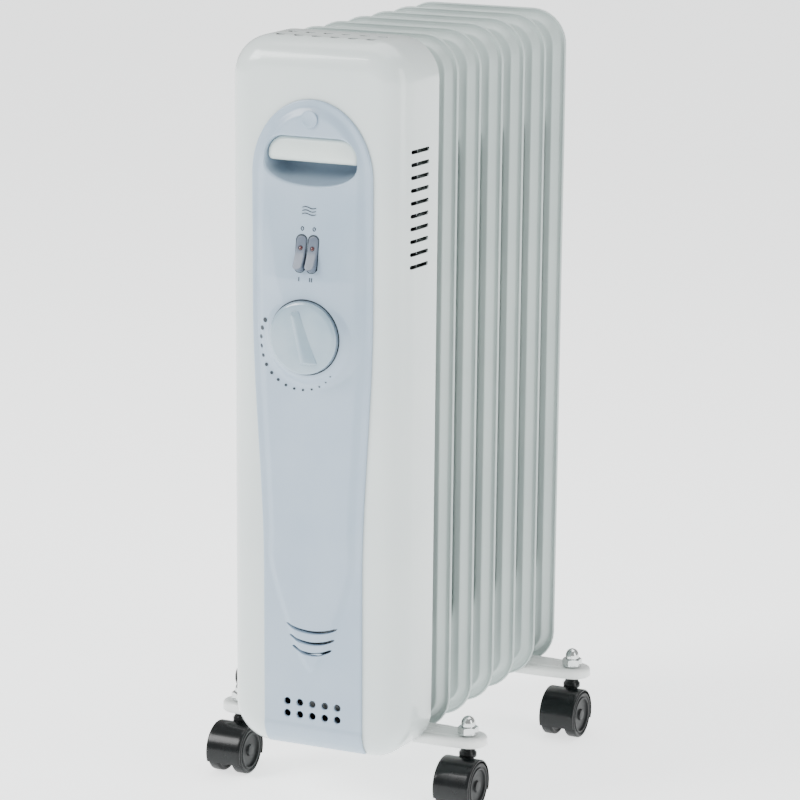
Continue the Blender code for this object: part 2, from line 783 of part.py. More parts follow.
def switches():
    half = rocker_length / 2
    crest, dip, hub = 0.0048, 0.0032, 0.0040
    profile = [(-crest, half), (-dip, 0.0), (-crest, -half), (0.0005, 0.0008 - half), (hub, -hub),
               (hub, hub), (0.0005, half - 0.0008)]
    slope = (crest - dip) / half
    for number, side in ((1, -1), (2, 1)):
        rocker = plate(f"rocker_{number}", [profile], rocker_width, along_x @ Matrix.Rotation(pi / 2, 4, "Z"))
        ends = plate("ends", [upright_slot(rocker_width / 2 - 0.0001, half + 0.0001)], 0.03, facing_front)
        combine(rocker, ends, "INTERSECT")
        lens_at = (0, -(dip + slope * lens_height), lens_height)
        seat = cylinder("seat", lens_radius + gap, 0.003, 10, at(*lens_at) @ along_y)
        cut(rocker, seat)
        rocker.location = (side * rocker_pitch / 2, rocker_pivot, rocker_height_at)
        rocker.rotation_euler = (-radians(rocker_tilt) - rocker_lean, 0, 0)
        place(rocker, rocker_plastic)
        lens = cylinder(f"rocker_lens_{number}", lens_radius, 0.0015, 10, along_y)
        lens.location = (0, lens_at[1] + 0.0003, lens_at[2])
        place(lens, red_lens, rocker)
        hub_reach = hypot(hub, hub) * cos(radians(45.0 - rocker_tilt) - rocker_lean)
        switch_front = rocker_pivot + hub_reach + gap
        body = box(f"switch_body_{number}", (rocker_pitch - 2 * gap, switch_depth, rocker_length - 0.002),
                   (0, 0, 0))
        body.location = (side * rocker_pitch / 2, switch_front + switch_depth / 2, rocker_height_at)
        place(body, black_plastic)


# ---- inside the housing ----
def inside():
    inset = housing_wall + shield_clearance
    half = half_outline(housing_half - inset - housing_taper, housing_half_height - inset,
                        fin_corner + housing_margin - inset, 5)
    outline = [(x, z + fin_middle) for x, z in both_sides(half)]
    shield = plate("heat_shield", [outline], shield_sheet, at(0, shield_y, 0) @ facing_front)
    cut(shield, cylinder("terminal_hole", 0.015, 0.01, 12, at(0, shield_y, lower_neck) @ along_y))
    place(shield, steel)
    block = box("terminal_block", (0.046, 0.013, 0.016), (0, 0, 0))
    block.location = (0, shield_y - shield_sheet / 2 - gap - 0.0065, lower_neck + 0.057)
    place(block, white_plastic)
    cutout = cylinder("thermal_cutout", 0.008, 0.006, 14, along_y)
    cutout.location = (0.034, shield_y - shield_sheet / 2 - gap - 0.003, lower_neck + 0.017)
    place(cutout, black_plastic)
    profile = [(0.0035, 0.0045), (0.0085, 0.0045), (0.0100, 0.0030), (0.0100, 0.0),
               (gland_radius, 0.0), (gland_radius, -0.014), (0.0035, -0.014)]
    gland = turned("cable_gland", profile, 14, closed=True)
    settled(gland)
    gland.data.transform(Matrix.Rotation(-pi / 2, 4, "Y"))
    gland.location = (-(housing_half + gap), gland_y, gland_height)
    place(gland, black_plastic)


def element():
    half = element_spread / 2
    start, end = boss_front - 0.014, rear_seam - 0.002
    legs = [(half, start, 0), (half, end, 0)]
    turn_back = [(half * cos(pi * k / 8), end + half * sin(pi * k / 8), 0) for k in range(1, 8)]
    path = legs + turn_back + [(-x, y, z) for x, y, z in reversed(legs)]
    tube = as_mesh(rod("heating_element", path, element_radius, 1))
    tube.location = (0, 0, lower_neck)
    place(tube, steel)
    flange = cylinder("element_flange", element_flange_radius, element_flange_thickness, 20, along_y)
    holes = [cylinder("hole", element_radius + gap, 0.02, 12, at(x, 0, 0) @ along_y) for x in (-half, half)]
    cut(flange, group("holes", holes))
    flange.location = (0, boss_front - gap - element_flange_thickness / 2, lower_neck)
    place(flange, steel)
    plug = cylinder("filler_plug", neck_radius, 0.0018, 16, at(0, 0, 0.0009))
    join(plug, cylinder("hex", 0.0075, 0.0035, 6, at(0, 0, 0.0030)))
    plug.data.transform(facing_front)
    plug.location = (0, boss_front - gap, upper_neck)
    place(plug, steel)


# ---- brackets ----
def bracket_outline(inset):
    centre = bracket_half_length - bracket_tip_radius
    radius = bracket_tip_radius - inset
    right = [(bracket_straight, -(bracket_width / 2 - inset))]
    for step in range(7):
        angle = radians(-78 + 26 * step)
        right.append((centre + radius * cos(angle), radius * sin(angle)))
    right.append((bracket_straight, bracket_width / 2 - inset))
    return right + [(-x, -y) for x, y in right]


def brackets():
    leg_x = neck_radius + gap + rod_radius
    for name, y in zip(("front", "rear"), bracket_y):
        solid = plate(f"foot_bracket_{name}", [bracket_outline(0)], bracket_skirt,
                      at(0, 0, -bracket_skirt / 2))
        hollow = plate("hollow", [bracket_outline(bracket_sheet)], bracket_skirt,
                       at(0, 0, -bracket_skirt / 2 - bracket_sheet))
        cut(solid, hollow)
        holes = [cylinder("hole", radius + gap, 0.01, sides, at(side * x, 0, 0)) for side in (-1, 1)
                 for radius, sides, x in ((stud_radius, 12, castor_x), (rod_radius, 10, leg_x))]
        cut(solid, group("holes", holes))
        solid.location = (0, y, bracket_top)
        place(solid, bracket_enamel)

        low = bracket_top - bracket_skirt - lower_neck
        arch = [(leg_x * cos(pi * k / 10), 0, leg_x * sin(pi * k / 10)) for k in range(11)]
        path = [(leg_x, 0, low)] + arch + [(-leg_x, 0, low)]
        bolt = as_mesh(rod(f"u_bolt_{name}", path, rod_radius, 1))
        bolt.location = (0, y, lower_neck)
        place(bolt, zinc)
        for side, word in ((-1, "left"), (1, "right")):
            nut = cylinder(f"wing_nut_{name}_{word}", 0.0055, 0.0045, 8)
            join(nut, box("wings", (0.020, 0.0018, 0.0060), (0, 0, -0.00075)))
            cut(nut, cylinder("bore", rod_radius + gap, 0.03, 8))
            nut.location = (side * leg_x, y, bracket_top - bracket_sheet - gap - 0.00225)
            place(nut, zinc)
            castor(f"{name}_{word}", side * castor_x, y)


def ring(radius, sides):
    """A regular outline whose flats are the given distance from its middle."""
    corner = radius / cos(pi / sides)
    return [(corner * cos(2 * pi * (k + 0.5) / sides), corner * sin(2 * pi * (k + 0.5) / sides))
            for k in range(sides)]


def castor(name, x, y):
    """One twin wheel castor; its hood turns about the stud and its wheels about the axle."""
    nut = cylinder(f"cap_nut_{name}", 0.0075, 0.0066, 6, at(0, 0, 0.0033))
    dome = settled(turned("dome", [(0, 0.0155), (0.0032, 0.0146), (0.0054, 0.0115),
                                   (0.0058, 0.0040), (0, 0.0040)], 8))
    washer = cylinder("washer", 0.0082, 0.0012, 12, at(0, 0, 0.0006))
    join(nut, dome, washer)
    cut(nut, cylinder("bore", stud_radius + gap, 0.026, 10))
    nut.location = (x, y, bracket_top + gap)
    place(nut, zinc)

    shoulder = neck_foot + stud_shoulder
    top = bracket_top + gap + 0.0125
    stud = turned(f"castor_stud_{name}", [(0, top), (stud_radius, top), (stud_radius, shoulder + gap),
                                          (pin_radius, shoulder + gap), (pin_radius, pin_foot),
                                          (0, pin_foot)], 12)
    settled(stud)
    stud.location = (x, y, 0)
    place(stud, zinc)

    hood = castor_hood(f"castor_hood_{name}", shoulder)
    hood.location = (x, y, wheel_radius)
    place(hood, black_plastic)
    axle = plate(f"castor_axle_{name}", [ring(axle_radius, 10)], hood_web + 2 * wheel_width, along_x)
    axle.location = (0, -castor_trail, 0)
    place(axle, steel, hood)
    for side, word in ((-1, "l"), (1, "r")):
        wheel = plate(f"wheel_{name}_{word}", [ring(wheel_radius, wheel_facets), ring(axle_radius + gap, 10)],
                      wheel_width, along_x)
        wheel.location = (side * (hood_web / 2 + running + wheel_width / 2), -castor_trail, 0)
        place(wheel, black_plastic, hood)


def castor_hood(name, shoulder):
    half_step = radians(90 - hood_from) / hood_facets
    inner = wheel_radius / cos(pi / wheel_facets) / cos(half_step) + hood_clearance
    outer = inner + hood_wall
    angles = [radians(hood_from) + 2 * half_step * k for k in range(hood_facets + 1)]
    arc = [(cos(a), sin(a)) for a in angles]
    roof_outline = [(outer * c, outer * s) for c, s in arc]
    roof_outline += [(inner * c, inner * s) for c, s in reversed(arc)]
    width = hood_web + 2 * wheel_width + 0.0006
    in_yz = at(0, -castor_trail, 0) @ Matrix.Rotation(pi / 2, 4, "Z") @ facing_front
    hood = plate(name, [roof_outline], width, in_yz)
    middle = (inner + outer) / 2
    web = plate("web", [[(middle * c, middle * s) for c, s in arc]], hood_web, in_yz)
    neck_top = bracket_top - bracket_sheet - gap - wheel_radius
    foot = neck_foot - wheel_radius
    neck = cylinder("neck", neck_outer, neck_top - foot, 14, at(0, 0, (neck_top + foot) / 2))
    join(hood, web, neck)
    split = shoulder - wheel_radius
    wide = cylinder("wide", stud_radius + gap, 0.04, 12, at(0, 0, split + 0.02))
    low = pin_foot - gap - wheel_radius
    narrow = cylinder("narrow", pin_radius + gap, split + 0.001 - low, 12,
                      at(0, 0, (split + 0.001 + low) / 2))
    bore = plate("bore", [ring(axle_radius + gap, 10)], 0.03, at(0, -castor_trail, 0) @ along_x)
    return cut(hood, wide, narrow, bore)


control_housing()
control_panel()
handle_grip()
panel_cap()
thermostat()
switches()
inside()
element()
brackets()
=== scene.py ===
import json
from math import cos, hypot, pi, radians, sin, sqrt

import bmesh
import bpy
import numpy as np
from mathutils import Matrix, Vector

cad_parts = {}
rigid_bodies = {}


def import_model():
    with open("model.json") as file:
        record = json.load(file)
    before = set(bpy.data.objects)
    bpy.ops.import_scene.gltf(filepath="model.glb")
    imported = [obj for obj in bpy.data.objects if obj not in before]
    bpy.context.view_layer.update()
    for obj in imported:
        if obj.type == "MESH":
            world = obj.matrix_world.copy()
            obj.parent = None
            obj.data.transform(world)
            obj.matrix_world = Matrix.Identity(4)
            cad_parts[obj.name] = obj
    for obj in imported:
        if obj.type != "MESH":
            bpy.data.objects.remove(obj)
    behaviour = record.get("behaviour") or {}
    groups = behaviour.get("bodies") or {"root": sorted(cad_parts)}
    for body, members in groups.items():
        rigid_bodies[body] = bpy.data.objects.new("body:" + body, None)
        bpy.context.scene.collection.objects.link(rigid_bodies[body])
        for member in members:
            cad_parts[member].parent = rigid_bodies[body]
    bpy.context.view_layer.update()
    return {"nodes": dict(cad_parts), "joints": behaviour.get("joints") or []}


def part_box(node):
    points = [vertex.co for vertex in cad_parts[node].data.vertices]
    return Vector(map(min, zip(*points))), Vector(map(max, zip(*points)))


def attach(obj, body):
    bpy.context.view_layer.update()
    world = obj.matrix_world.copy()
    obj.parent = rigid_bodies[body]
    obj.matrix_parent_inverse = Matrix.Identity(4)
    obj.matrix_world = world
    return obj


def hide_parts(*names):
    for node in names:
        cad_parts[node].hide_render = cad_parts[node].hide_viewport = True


# Oil filled radiator heater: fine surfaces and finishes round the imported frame.
# Metres, +Z up, the control panel faces -Y. Depths are measured from the front fin's seam.
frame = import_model()
mm = 0.001
gap = 0.3 * mm  # between pieces that touch
finLow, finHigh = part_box("fin_0")
housingLow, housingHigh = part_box("control_housing")
panelLow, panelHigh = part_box("control_panel")
seamY = (finLow.y + finHigh.y) / 2
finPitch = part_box("fin_1")[0].y - finLow.y
finMiddle = (finLow.z + finHigh.z) / 2
pivots = {joint["child"]: Vector(joint["pos_m"]) for joint in frame["joints"]}
rockerZ, knobZ = pivots["rocker_low"].z, pivots["knob"].z
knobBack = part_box("thermostat_knob")[1].y
finNames = sorted(name for name in frame["nodes"] if name.startswith("fin_"))
print("stage: frame loaded,", len(frame["nodes"]), "nodes")


# ---- materials ----
def linear(hexText):
    shares = [int(hexText[i:i + 2], 16) / 255 for i in (1, 3, 5)]
    return tuple(s / 12.92 if s <= 0.04045 else ((s + 0.055) / 1.055) ** 2.4 for s in shares) + (1.0,)


def addNode(tree, kind, settings=None, values=None, links=None):
    node = tree.nodes.new(kind)
    for key, value in (settings or {}).items():
        setattr(node, key, value)
    for key, value in (values or {}).items():
        node.inputs[key].default_value = value
    for key, source in (links or {}).items():
        tree.links.new(source, node.inputs[key])
    return node


def startMaterial(look):
    made = bpy.data.materials.new(look["name"])
    made.use_nodes = True
    shader = made.node_tree.nodes["Principled BSDF"]
    shader.inputs["Base Color"].default_value = linear(look["colour"])
    for key, socket in (("roughness", "Roughness"), ("metallic", "Metallic"), ("ior", "IOR"),
                        ("coat", "Coat Weight"), ("coatRoughness", "Coat Roughness")):
        if key in look:
            shader.inputs[socket].default_value = look[key]
    where = addNode(made.node_tree, "ShaderNodeTexCoord").outputs["Object"]
    return made, made.node_tree, shader, where


def noised(tree, where, size, detail):
    return addNode(tree, "ShaderNodeTexNoise", None, {"Scale": 1 / (size * mm), "Detail": detail},
                   {"Vector": where}).outputs["Fac"]


def blended(tree, shader, look, share):
    mixed = addNode(tree, "ShaderNodeMix", {"data_type": "RGBA"},
                    {6: linear(look["colour"]), 7: linear(look["second"])}, {0: share})
    tree.links.new(mixed.outputs[2], shader.inputs["Base Color"])


def clouded(tree, shader, where, look):  # slow drift between two close colours
    share = addNode(tree, "ShaderNodeMapRange", None, {"From Min": 0.35, "From Max": 0.65},
                    {"Value": noised(tree, where, look["cloud"], 3.0)})
    blended(tree, shader, look, share.outputs["Result"])


def rippled(tree, shader, where, size, depth):  # bump of a moulded grain or a sprayed skin
    bump = addNode(tree, "ShaderNodeBump", None, {"Strength": 1.0, "Distance": depth * mm},
                   {"Height": noised(tree, where, size, 2.0)})
    tree.links.new(bump.outputs["Normal"], shader.inputs["Normal"])


def uneven(tree, shader, where, look, size):  # polish that comes and goes
    rough = addNode(tree, "ShaderNodeMapRange", None,
                    {"To Min": look["roughness"] * 0.8, "To Max": look["roughness"] * 1.25},
                    {"Value": noised(tree, where, size, 4.0)})
    tree.links.new(rough.outputs["Result"], shader.inputs["Roughness"])


def finished(look, grain, depth, patch):
    made, tree, shader, where = startMaterial(look)
    clouded(tree, shader, where, look)
    rippled(tree, shader, where, grain, depth)
    uneven(tree, shader, where, look, patch)
    return made


def enamel(look):  # sprayed and baked paint on pressed steel
    return finished({"ior": 1.5, **look}, look["peel"], look["peelDepth"], 40)


def moulded(look):  # injection moulded plastic with an etched tool's grain
    return finished({"ior": 1.53, **look}, look.get("grain", 0.5), look.get("grainDepth", 0.006), 25)


def plated(look):  # thin bright plating over machined steel
    return finished({"metallic": 1.0, **look}, look["grain"], 0.010, 6)


def spangled(look):  # hot dipped zinc: flat crystals a few mm across
    made, tree, shader, where = startMaterial(look)
    crystals = addNode(tree, "ShaderNodeTexVoronoi", None, {"Scale": 1 / (look["crystal"] * mm)},
                       {"Vector": where})
    grey = addNode(tree, "ShaderNodeSeparateColor", None, None, {"Color": crystals.outputs["Color"]})
    blended(tree, shader, look, grey.outputs["Red"])
    rough = addNode(tree, "ShaderNodeMapRange", None,
                    {"To Min": look["roughness"] * 0.7, "To Max": look["roughness"] * 1.3},
                    {"Value": grey.outputs["Green"]})
    tree.links.new(rough.outputs["Result"], shader.inputs["Roughness"])
    return made


# Powder coat: satin, an orange peel about 1.5 mm across that softens reflections.
finEnamel = enamel({"name": "powder_coat_grey", "colour": "#b4c0bd", "second": "#adb9b7", "cloud": 90,
    "roughness": 0.34, "coat": 0.25, "coatRoughness": 0.18, "peel": 1.6, "peelDepth": 0.010})
# Gloss enamel: the same paint, sprayed wetter, so it flows out flatter and shines.
housingEnamel = enamel({"name": "gloss_enamel_white", "colour": "#d4dddb", "second": "#ced8d7",
    "cloud": 120, "roughness": 0.24, "coat": 0.5, "coatRoughness": 0.08, "peel": 2.2, "peelDepth": 0.006})
bracketEnamel = enamel({"name": "gloss_enamel_foot", "colour": "#eceeec", "second": "#e4e8e6",
    "cloud": 60, "roughness": 0.26, "coat": 0.4, "coatRoughness": 0.1, "peel": 1.8, "peelDepth": 0.008})
# Painted shade: a dark grey for the housing's inside, standing in for the shade inside the closed box.
interiorShade = enamel({"name": "painted_shade_dark_grey", "colour": "#24292b", "second": "#1e2224", "cloud": 50,
    "roughness": 0.6, "peel": 1.5, "peelDepth": 0.012})
# ABS: soft satin from an etched mould, grain drawn at 0.6 mm so that it just shows.
panelPlastic = moulded({"name": "abs_pearl_lilac", "colour": "#a0b3c4", "second": "#99adc0", "cloud": 50,
    "roughness": 0.33, "coat": 0.3, "coatRoughness": 0.15, "grain": 0.6})
gripPlastic = moulded({"name": "abs_white", "colour": "#d8e3de", "second": "#d1ddd9", "cloud": 30,
    "roughness": 0.30, "coat": 0.3, "coatRoughness": 0.12, "grain": 0.6, "grainDepth": 0.005})
knobPlastic = moulded({"name": "abs_gloss_blue_grey", "colour": "#95abb8", "second": "#8da4b3",
    "cloud": 20, "roughness": 0.16, "coat": 0.6, "coatRoughness": 0.05, "grain": 0.9,
    "grainDepth": 0.002})
rockerPlastic = moulded({"name": "polyamide_grey", "colour": "#5f6a79", "second": "#566171", "cloud": 8,
    "roughness": 0.32})
darkPlastic = moulded({"name": "polyamide_dark_grey", "colour": "#4a5058", "second": "#434951",
    "cloud": 8, "roughness": 0.45})
lensPlastic = moulded({"name": "acrylic_dark_red", "colour": "#4a0812", "second": "#3a060d", "cloud": 2,
    "roughness": 0.08, "ior": 1.49, "coat": 0.8, "coatRoughness": 0.03, "grain": 0.8,
    "grainDepth": 0.001})
castorPlastic = moulded({"name": "polyamide_black", "colour": "#090c0d", "second": "#0d1112", "cloud": 12,
    "roughness": 0.25, "ior": 1.32, "coat": 0.12, "coatRoughness": 0.12, "grain": 0.6,
    "grainDepth": 0.004})
wheelPlastic = moulded({"name": "polypropylene_black", "colour": "#0b0e0f", "second": "#111415",
    "cloud": 9, "roughness": 0.42, "ior": 1.32})
# Pad print ink, also used for the painted shade rings round the knob and rockers.
printInkAndShade = moulded({"name": "pad_print_and_painted_shade_grey", "colour": "#1f2b33", "second": "#19242b", "cloud": 3,
    "roughness": 0.5, "ior": 1.5, "grain": 0.4, "grainDepth": 0.003})
phenolic = moulded({"name": "phenolic_brown_black", "colour": "#1c1a18", "second": "#26221f", "cloud": 6,
    "roughness": 0.5, "ior": 1.6, "grainDepth": 0.01})
ceramic = moulded({"name": "steatite_ceramic", "colour": "#e8e2d4", "second": "#ded7c8", "cloud": 9,
    "roughness": 0.45, "ior": 1.6, "grain": 0.4, "grainDepth": 0.012})
# Bright zinc and nickel: nearly a mirror, with the faint drag of the tool left under it.
acornPlate = plated({"name": "nickel_plate", "colour": "#d4d7d6", "second": "#c9cdcd", "cloud": 5,
    "roughness": 0.14, "grain": 2.0})
zincPlate = plated({"name": "zinc_plate", "colour": "#bfc4c6", "second": "#b3b9bd", "cloud": 4,
    "roughness": 0.28, "grain": 0.8})
steelPlate = plated({"name": "bright_steel", "colour": "#aab0b3", "second": "#9ea4a8", "cloud": 7,
    "roughness": 0.33, "grain": 0.7})
brassPlate = plated({"name": "brass", "colour": "#c9a45c", "second": "#bd9750", "cloud": 5,
    "roughness": 0.3, "grain": 0.8})
galvanised = spangled({"name": "galvanised_sheet", "colour": "#b3b8ba", "second": "#9ba2a6", "crystal": 6,
    "roughness": 0.36, "metallic": 1.0})
print("stage: materials made")


# ---- mesh tools ----
def smooth(low, high, value):
    share = np.clip((value - low) / (high - low), 0.0, 1.0)
    return share * share * (3 - 2 * share)


def roundedLoop(halfWidth, low, high, lowCorner, highCorner, steps, sideShares=()):
    points = []  # anticlockwise from the lower right corner, as (x, z)
    corners = ((1, low, lowCorner, -90), (1, high, highCorner, 0), (-1, high, highCorner, 90),
               (-1, low, lowCorner, 180))
    bottom, top = low + lowCorner, high - highCorner
    for number, (side, level, corner, start) in enumerate(corners):
        centreX = side * (halfWidth - corner)
        centreZ = bottom if level == low else top
        for step in range(steps + 1):
            angle = radians(start + 90 * step / steps)
            points.append((centreX + corner * cos(angle), centreZ + corner * sin(angle)))
        if number in (0, 2):
            shares = sideShares if number == 0 else sideShares[::-1]
            points += [(side * halfWidth, bottom + (top - bottom) * share) for share in shares]
    return points


def inMm(points):
    return [(a * mm, b * mm) for a, b in points]


def linked(name, data):
    made = bpy.data.objects.new(name, data)
    bpy.context.scene.collection.objects.link(made)
    return made


def fromBmesh(name, bm):
    mesh = bpy.data.meshes.new(name)
    bm.to_mesh(mesh)
    bm.free()
    return linked(name, mesh)


def outward(name, bm):  # a closed mesh with its faces turned out
    bmesh.ops.recalc_face_normals(bm, faces=bm.faces)
    if bm.calc_volume(signed=True) < 0:
        bmesh.ops.reverse_faces(bm, faces=bm.faces)
    return fromBmesh(name, bm)


def loft(name, loops, ends="pairs", closed=False):  # a skin over loops of (x, y, z) points
    bm = bmesh.new()
    rings = [[bm.verts.new(point) for point in loop] for loop in loops]
    count = len(rings[0])
    for ring, following in list(zip(rings, rings[1:])) + ([(rings[-1], rings[0])] if closed else []):
        for i in range(count):
            j = (i + 1) % count
            bm.faces.new((ring[i], ring[j], following[j], following[i]))
    for ring in () if closed else (rings[0], rings[-1]):
        if ends == "pairs":  # join left and right points of the cap
            for i in range(count // 2 - 1):
                bm.faces.new((ring[i], ring[i + 1], ring[count - 2 - i], ring[count - 1 - i]))
        else:
            bm.faces.new(ring)
    return outward(name, bm)


def turned(name, profile, steps, turn=Matrix()):  # (radius, z) points turned about Z, then turned
    bm = bmesh.new()
    rings = []
    for radius, z in profile:
        if radius < 1e-7:
            rings.append([bm.verts.new((0, 0, z))])
        else:
            angles = [2 * pi * (k + 0.5) / steps for k in range(steps)]
            rings.append([bm.verts.new((radius * cos(a), radius * sin(a), z)) for a in angles])
    pairs = list(zip(rings, rings[1:]))
    if profile[0][0] > 1e-7:
        pairs.append((rings[-1], rings[0]))
    for upper, lower in pairs:
        for i in range(steps):
            j = (i + 1) % steps
            corners = [ring[k % len(ring)] for ring, k in ((upper, i), (upper, j), (lower, j), (lower, i))]
            bm.faces.new(list(dict.fromkeys(corners)))
    bm.transform(turn)
    return outward(name, bm)


def cylinder(name, radius, length, sides, turn=Matrix()):
    return turned(name, [(0, length / 2), (radius, length / 2), (radius, -length / 2), (0, -length / 2)],
                  sides, turn)


def settled(obj):  # the same object with its modifiers applied
    bpy.context.view_layer.update()
    mesh = bpy.data.meshes.new_from_object(obj.evaluated_get(bpy.context.evaluated_depsgraph_get()))
    obj.modifiers.clear()
    obj.data = mesh
    return obj


def combine(target, pieces, operation="DIFFERENCE"):  # pieces don't touch each other
    bm = bmesh.new()
    for piece in pieces:
        bm.from_mesh(piece.data)
        bpy.data.objects.remove(piece, do_unlink=True)
    tool = fromBmesh("tool", bm)
    step = target.modifiers.new("combine", "BOOLEAN")
    step.operation = operation
    step.solver = "EXACT"
    step.object = tool
    settled(target)
    bpy.data.objects.remove(tool, do_unlink=True)
    return target


def hand(obj, material, body, replaced=(), sharp=38.0):  # finish a piece and put it on its body
    obj.data.materials.clear()
    obj.data.materials.append(material)
    obj.data.shade_smooth()
    obj.data.set_sharp_from_angle(angle=radians(sharp))
    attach(obj, body)
    if replaced:
        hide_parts(*replaced)
    return obj


def at(x, y, z):
    return Matrix.Translation((x, y, z))


alongX = Matrix.Rotation(pi / 2, 4, "Y")  # Z turned to +X
towardFront = Matrix.Rotation(pi / 2, 4, "X")  # Z turned to -Y, Y to +Z
rootBody = "heater"


# ---- fins ----
fin = {
    "corner": 31 * mm, "beadWidth": 2.2 * mm, "beadHalf": 1.5 * mm, "flangeHalf": 0.9 * mm,
    "flankFrom": 4.3 * mm, "crestAt": 9.0 * mm, "crest": 8.5 * mm,  # oil channel down each side
    "shoulderTo": 14.2 * mm, "shoulder": 8.1 * mm, "webFrom": 17.6 * mm, "web": 2.2 * mm,
    "middleHalf": 13.5 * mm, "middleFoot": 17.5 * mm, "middle": 7.8 * mm,  # oil channel up the middle
    "header": 13.5 * mm, "headerFull": 25 * mm, "headerLength": 96 * mm, "blend": 13 * mm,
    "lowFlange": 3.7 * mm,  # extra flange along the lower edge
    "neck": 18 * mm, "neckInset": 58 * mm, "neckFillet": 2.5 * mm,
}
finHalf = finHigh.x


def finThickness(inset, z):  # half thickness at a place on the fin
    f = fin
    if inset < f["beadWidth"]:
        across = (2 * inset / f["beadWidth"] - 1)
        bead = f["beadHalf"] * sqrt(max(1 - across * across, 0.0))
        return bead if across < 0 else max(bead, f["flangeHalf"])
    rise = smooth(f["flankFrom"], f["crestAt"], inset)
    crest = f["flangeHalf"] + (f["crest"] - f["flangeHalf"]) * rise
    crest -= (f["crest"] - f["shoulder"]) * smooth(f["crestAt"], f["shoulderTo"], inset)
    side = crest + (f["web"] - f["shoulder"]) * smooth(f["shoulderTo"], f["webFrom"], inset)
    side += (f["middle"] - f["web"]) * smooth(finHalf - f["middleFoot"], finHalf - f["middleHalf"], inset)
    header = crest + (f["header"] - f["shoulder"]) * smooth(f["crestAt"] + 1.5 * mm, f["headerFull"], inset)
    straight = (finHigh.z - finLow.z) / 2 - f["headerLength"]
    share = smooth(straight - f["blend"], straight + f["blend"], abs(z - finMiddle))
    return side + (header - side) * share


def finLoops():
    insets = [0.15, 0.4, 0.75, 1.1, 1.5, 1.85, 2.1, 2.3, 2.8, 3.6, 4.3, 4.8, 5.4, 6.0, 6.7, 7.4, 8.0,
              8.6, 9.2, 10.0, 11.2, 12.6, 13.8, 14.6, 15.2, 15.8, 16.4, 17.0, 17.8, 19.0, 20.5, 22.0,
              23.5, 25.5, 30.0, 38.0, 48.0, 57.0, 60.3, 61.2, 62.0, 62.8, 63.6, 64.6, 67.0, 71.0, 74.5]
    halfHeight = (finHigh.z - finLow.z) / 2
    straight = halfHeight - fin["corner"]
    cut = halfHeight - fin["headerLength"]
    steps = [0, 45, 90, 130, 155, 170] + [cut / mm - 13 + 2.0 * k for k in range(14)] + [215, 228, 240, 250]
    shares = sorted({0.5 + side * min(step * mm / straight, 0.99) / 2 for step in steps for side in (-1, 1)})
    rim = roundedLoop(finHalf, -halfHeight, halfHeight, fin["corner"], fin["corner"], 9, shares)
    below = []
    for x, z in rim:
        dx = max(abs(x) - (finHalf - fin["corner"]), 0.0)
        dz = max(-z - straight, 0.0)
        below.append((dz / hypot(dx, dz)) ** 2 if dz > 0 else 0.0)
    loops = [[(x, 0.0, z + finMiddle) for x, z in rim]]
    for inset in insets:
        inset = min(inset * mm, finHalf - 3.2 * mm)
        extra = smooth(2.4 * mm, 4.3 * mm, inset) * (1 - smooth(28 * mm, 55 * mm, inset))
        later = inset + fin["lowFlange"] * extra
        corner, lateCorner = max(fin["corner"] - inset, 2.5 * mm), max(fin["corner"] - later, 2.5 * mm)
        near, far = [roundedLoop(finHalf - by, by - halfHeight, halfHeight - by, bend, bend, 9, shares)
                     for by, bend in ((inset, corner), (later, lateCorner))]
        loop = []
        for (x, z), (farX, farZ), share in zip(near, far, below):
            x, z = x + (farX - x) * share, z + (farZ - z) * share
            loop.append((x, finThickness(inset, z + finMiddle), z + finMiddle))
        loops.append(loop)
    return loops


def finMesh(name, ways):
    loops = finLoops()
    front = [[(x, -y, z) for x, y, z in loop] for loop in loops[:0:-1]]
    made = loft(name, front + loops)
    reach, header, fillet = finPitch / 2 - gap / 2, fin["header"], fin["neckFillet"]
    profile = [(0, reach), (fin["neck"] - 0.4 * mm, reach), (fin["neck"] + 0.5 * mm, reach - 0.5 * mm),
               (fin["neck"] + 0.5 * mm, reach - 1.5 * mm), (fin["neck"], reach - 2.1 * mm)]
    profile += [(fin["neck"] + fillet * (1 - cos(a)), header + fillet * (1 - sin(a)))
                for a in (0, pi / 8, pi / 4, 3 * pi / 8, pi / 2.1)]
    profile += [(fin["neck"] + fillet, header - 1.0 * mm), (0, header - 1.0 * mm)]
    necks = []
    for way in ways:
        turn = Matrix.Rotation(-way * pi / 2, 4, "X")
        for height in (finLow.z + fin["neckInset"], finHigh.z - fin["neckInset"]):
            necks.append(turned("neck", profile, 48, at(0, 0, height) @ turn))
    return combine(made, necks, "UNION").data


def makeFins():
    through, blind = finMesh("throughFin", (-1, 1)), finMesh("blindFin", (-1,))
    for name in ("throughFin", "blindFin"):
        bpy.data.objects.remove(bpy.data.objects[name], do_unlink=True)
    for number, name in enumerate(finNames):
        made = linked(name + "_pressed", blind if number == len(finNames) - 1 else through)
        made.location = (0, seamY + number * finPitch, 0)
        hand(made, finEnamel, rootBody, [name], 45)


makeFins()
print("stage: fins pressed")

# ---- control housing ----
housing = {
    "wall": 1.2 * mm, "edge": 24 * mm, "lean": 8.5 * mm, "taper": 1.5 * mm, "corner": 33 * mm,
    "windowLap": 7 * mm,
    "topVents": 6, "topPitch": 15.8 * mm, "topLength": 8.5 * mm, "topHalf": 2.9 * mm,
    "topRows": (-37.0 * mm, -16.5 * mm),
    "slots": 10, "slotPitch": 10.15 * mm, "slotLength": 29 * mm, "slotWidth": 3.2 * mm,
    "slotDrop": 85.5 * mm, "slotY": -27.5 * mm, "gland": 7.0 * mm,
}
housingTop, housingBottom = housingHigh.z, housingLow.z
housingDepth, housingRear = seamY - housingLow.y, housingHigh.y - seamY
housingMiddle = (housingTop + housingBottom) / 2


def housingFace(z):  # the flat front leans back towards the bottom
    return -(housingDepth - housing["lean"] * (housingTop - z) / (housingTop - housingBottom))


def leaned(y, z):
    return housingRear + (y - housingRear) * (housingFace(z) - housingRear) / (-housingDepth - housingRear)


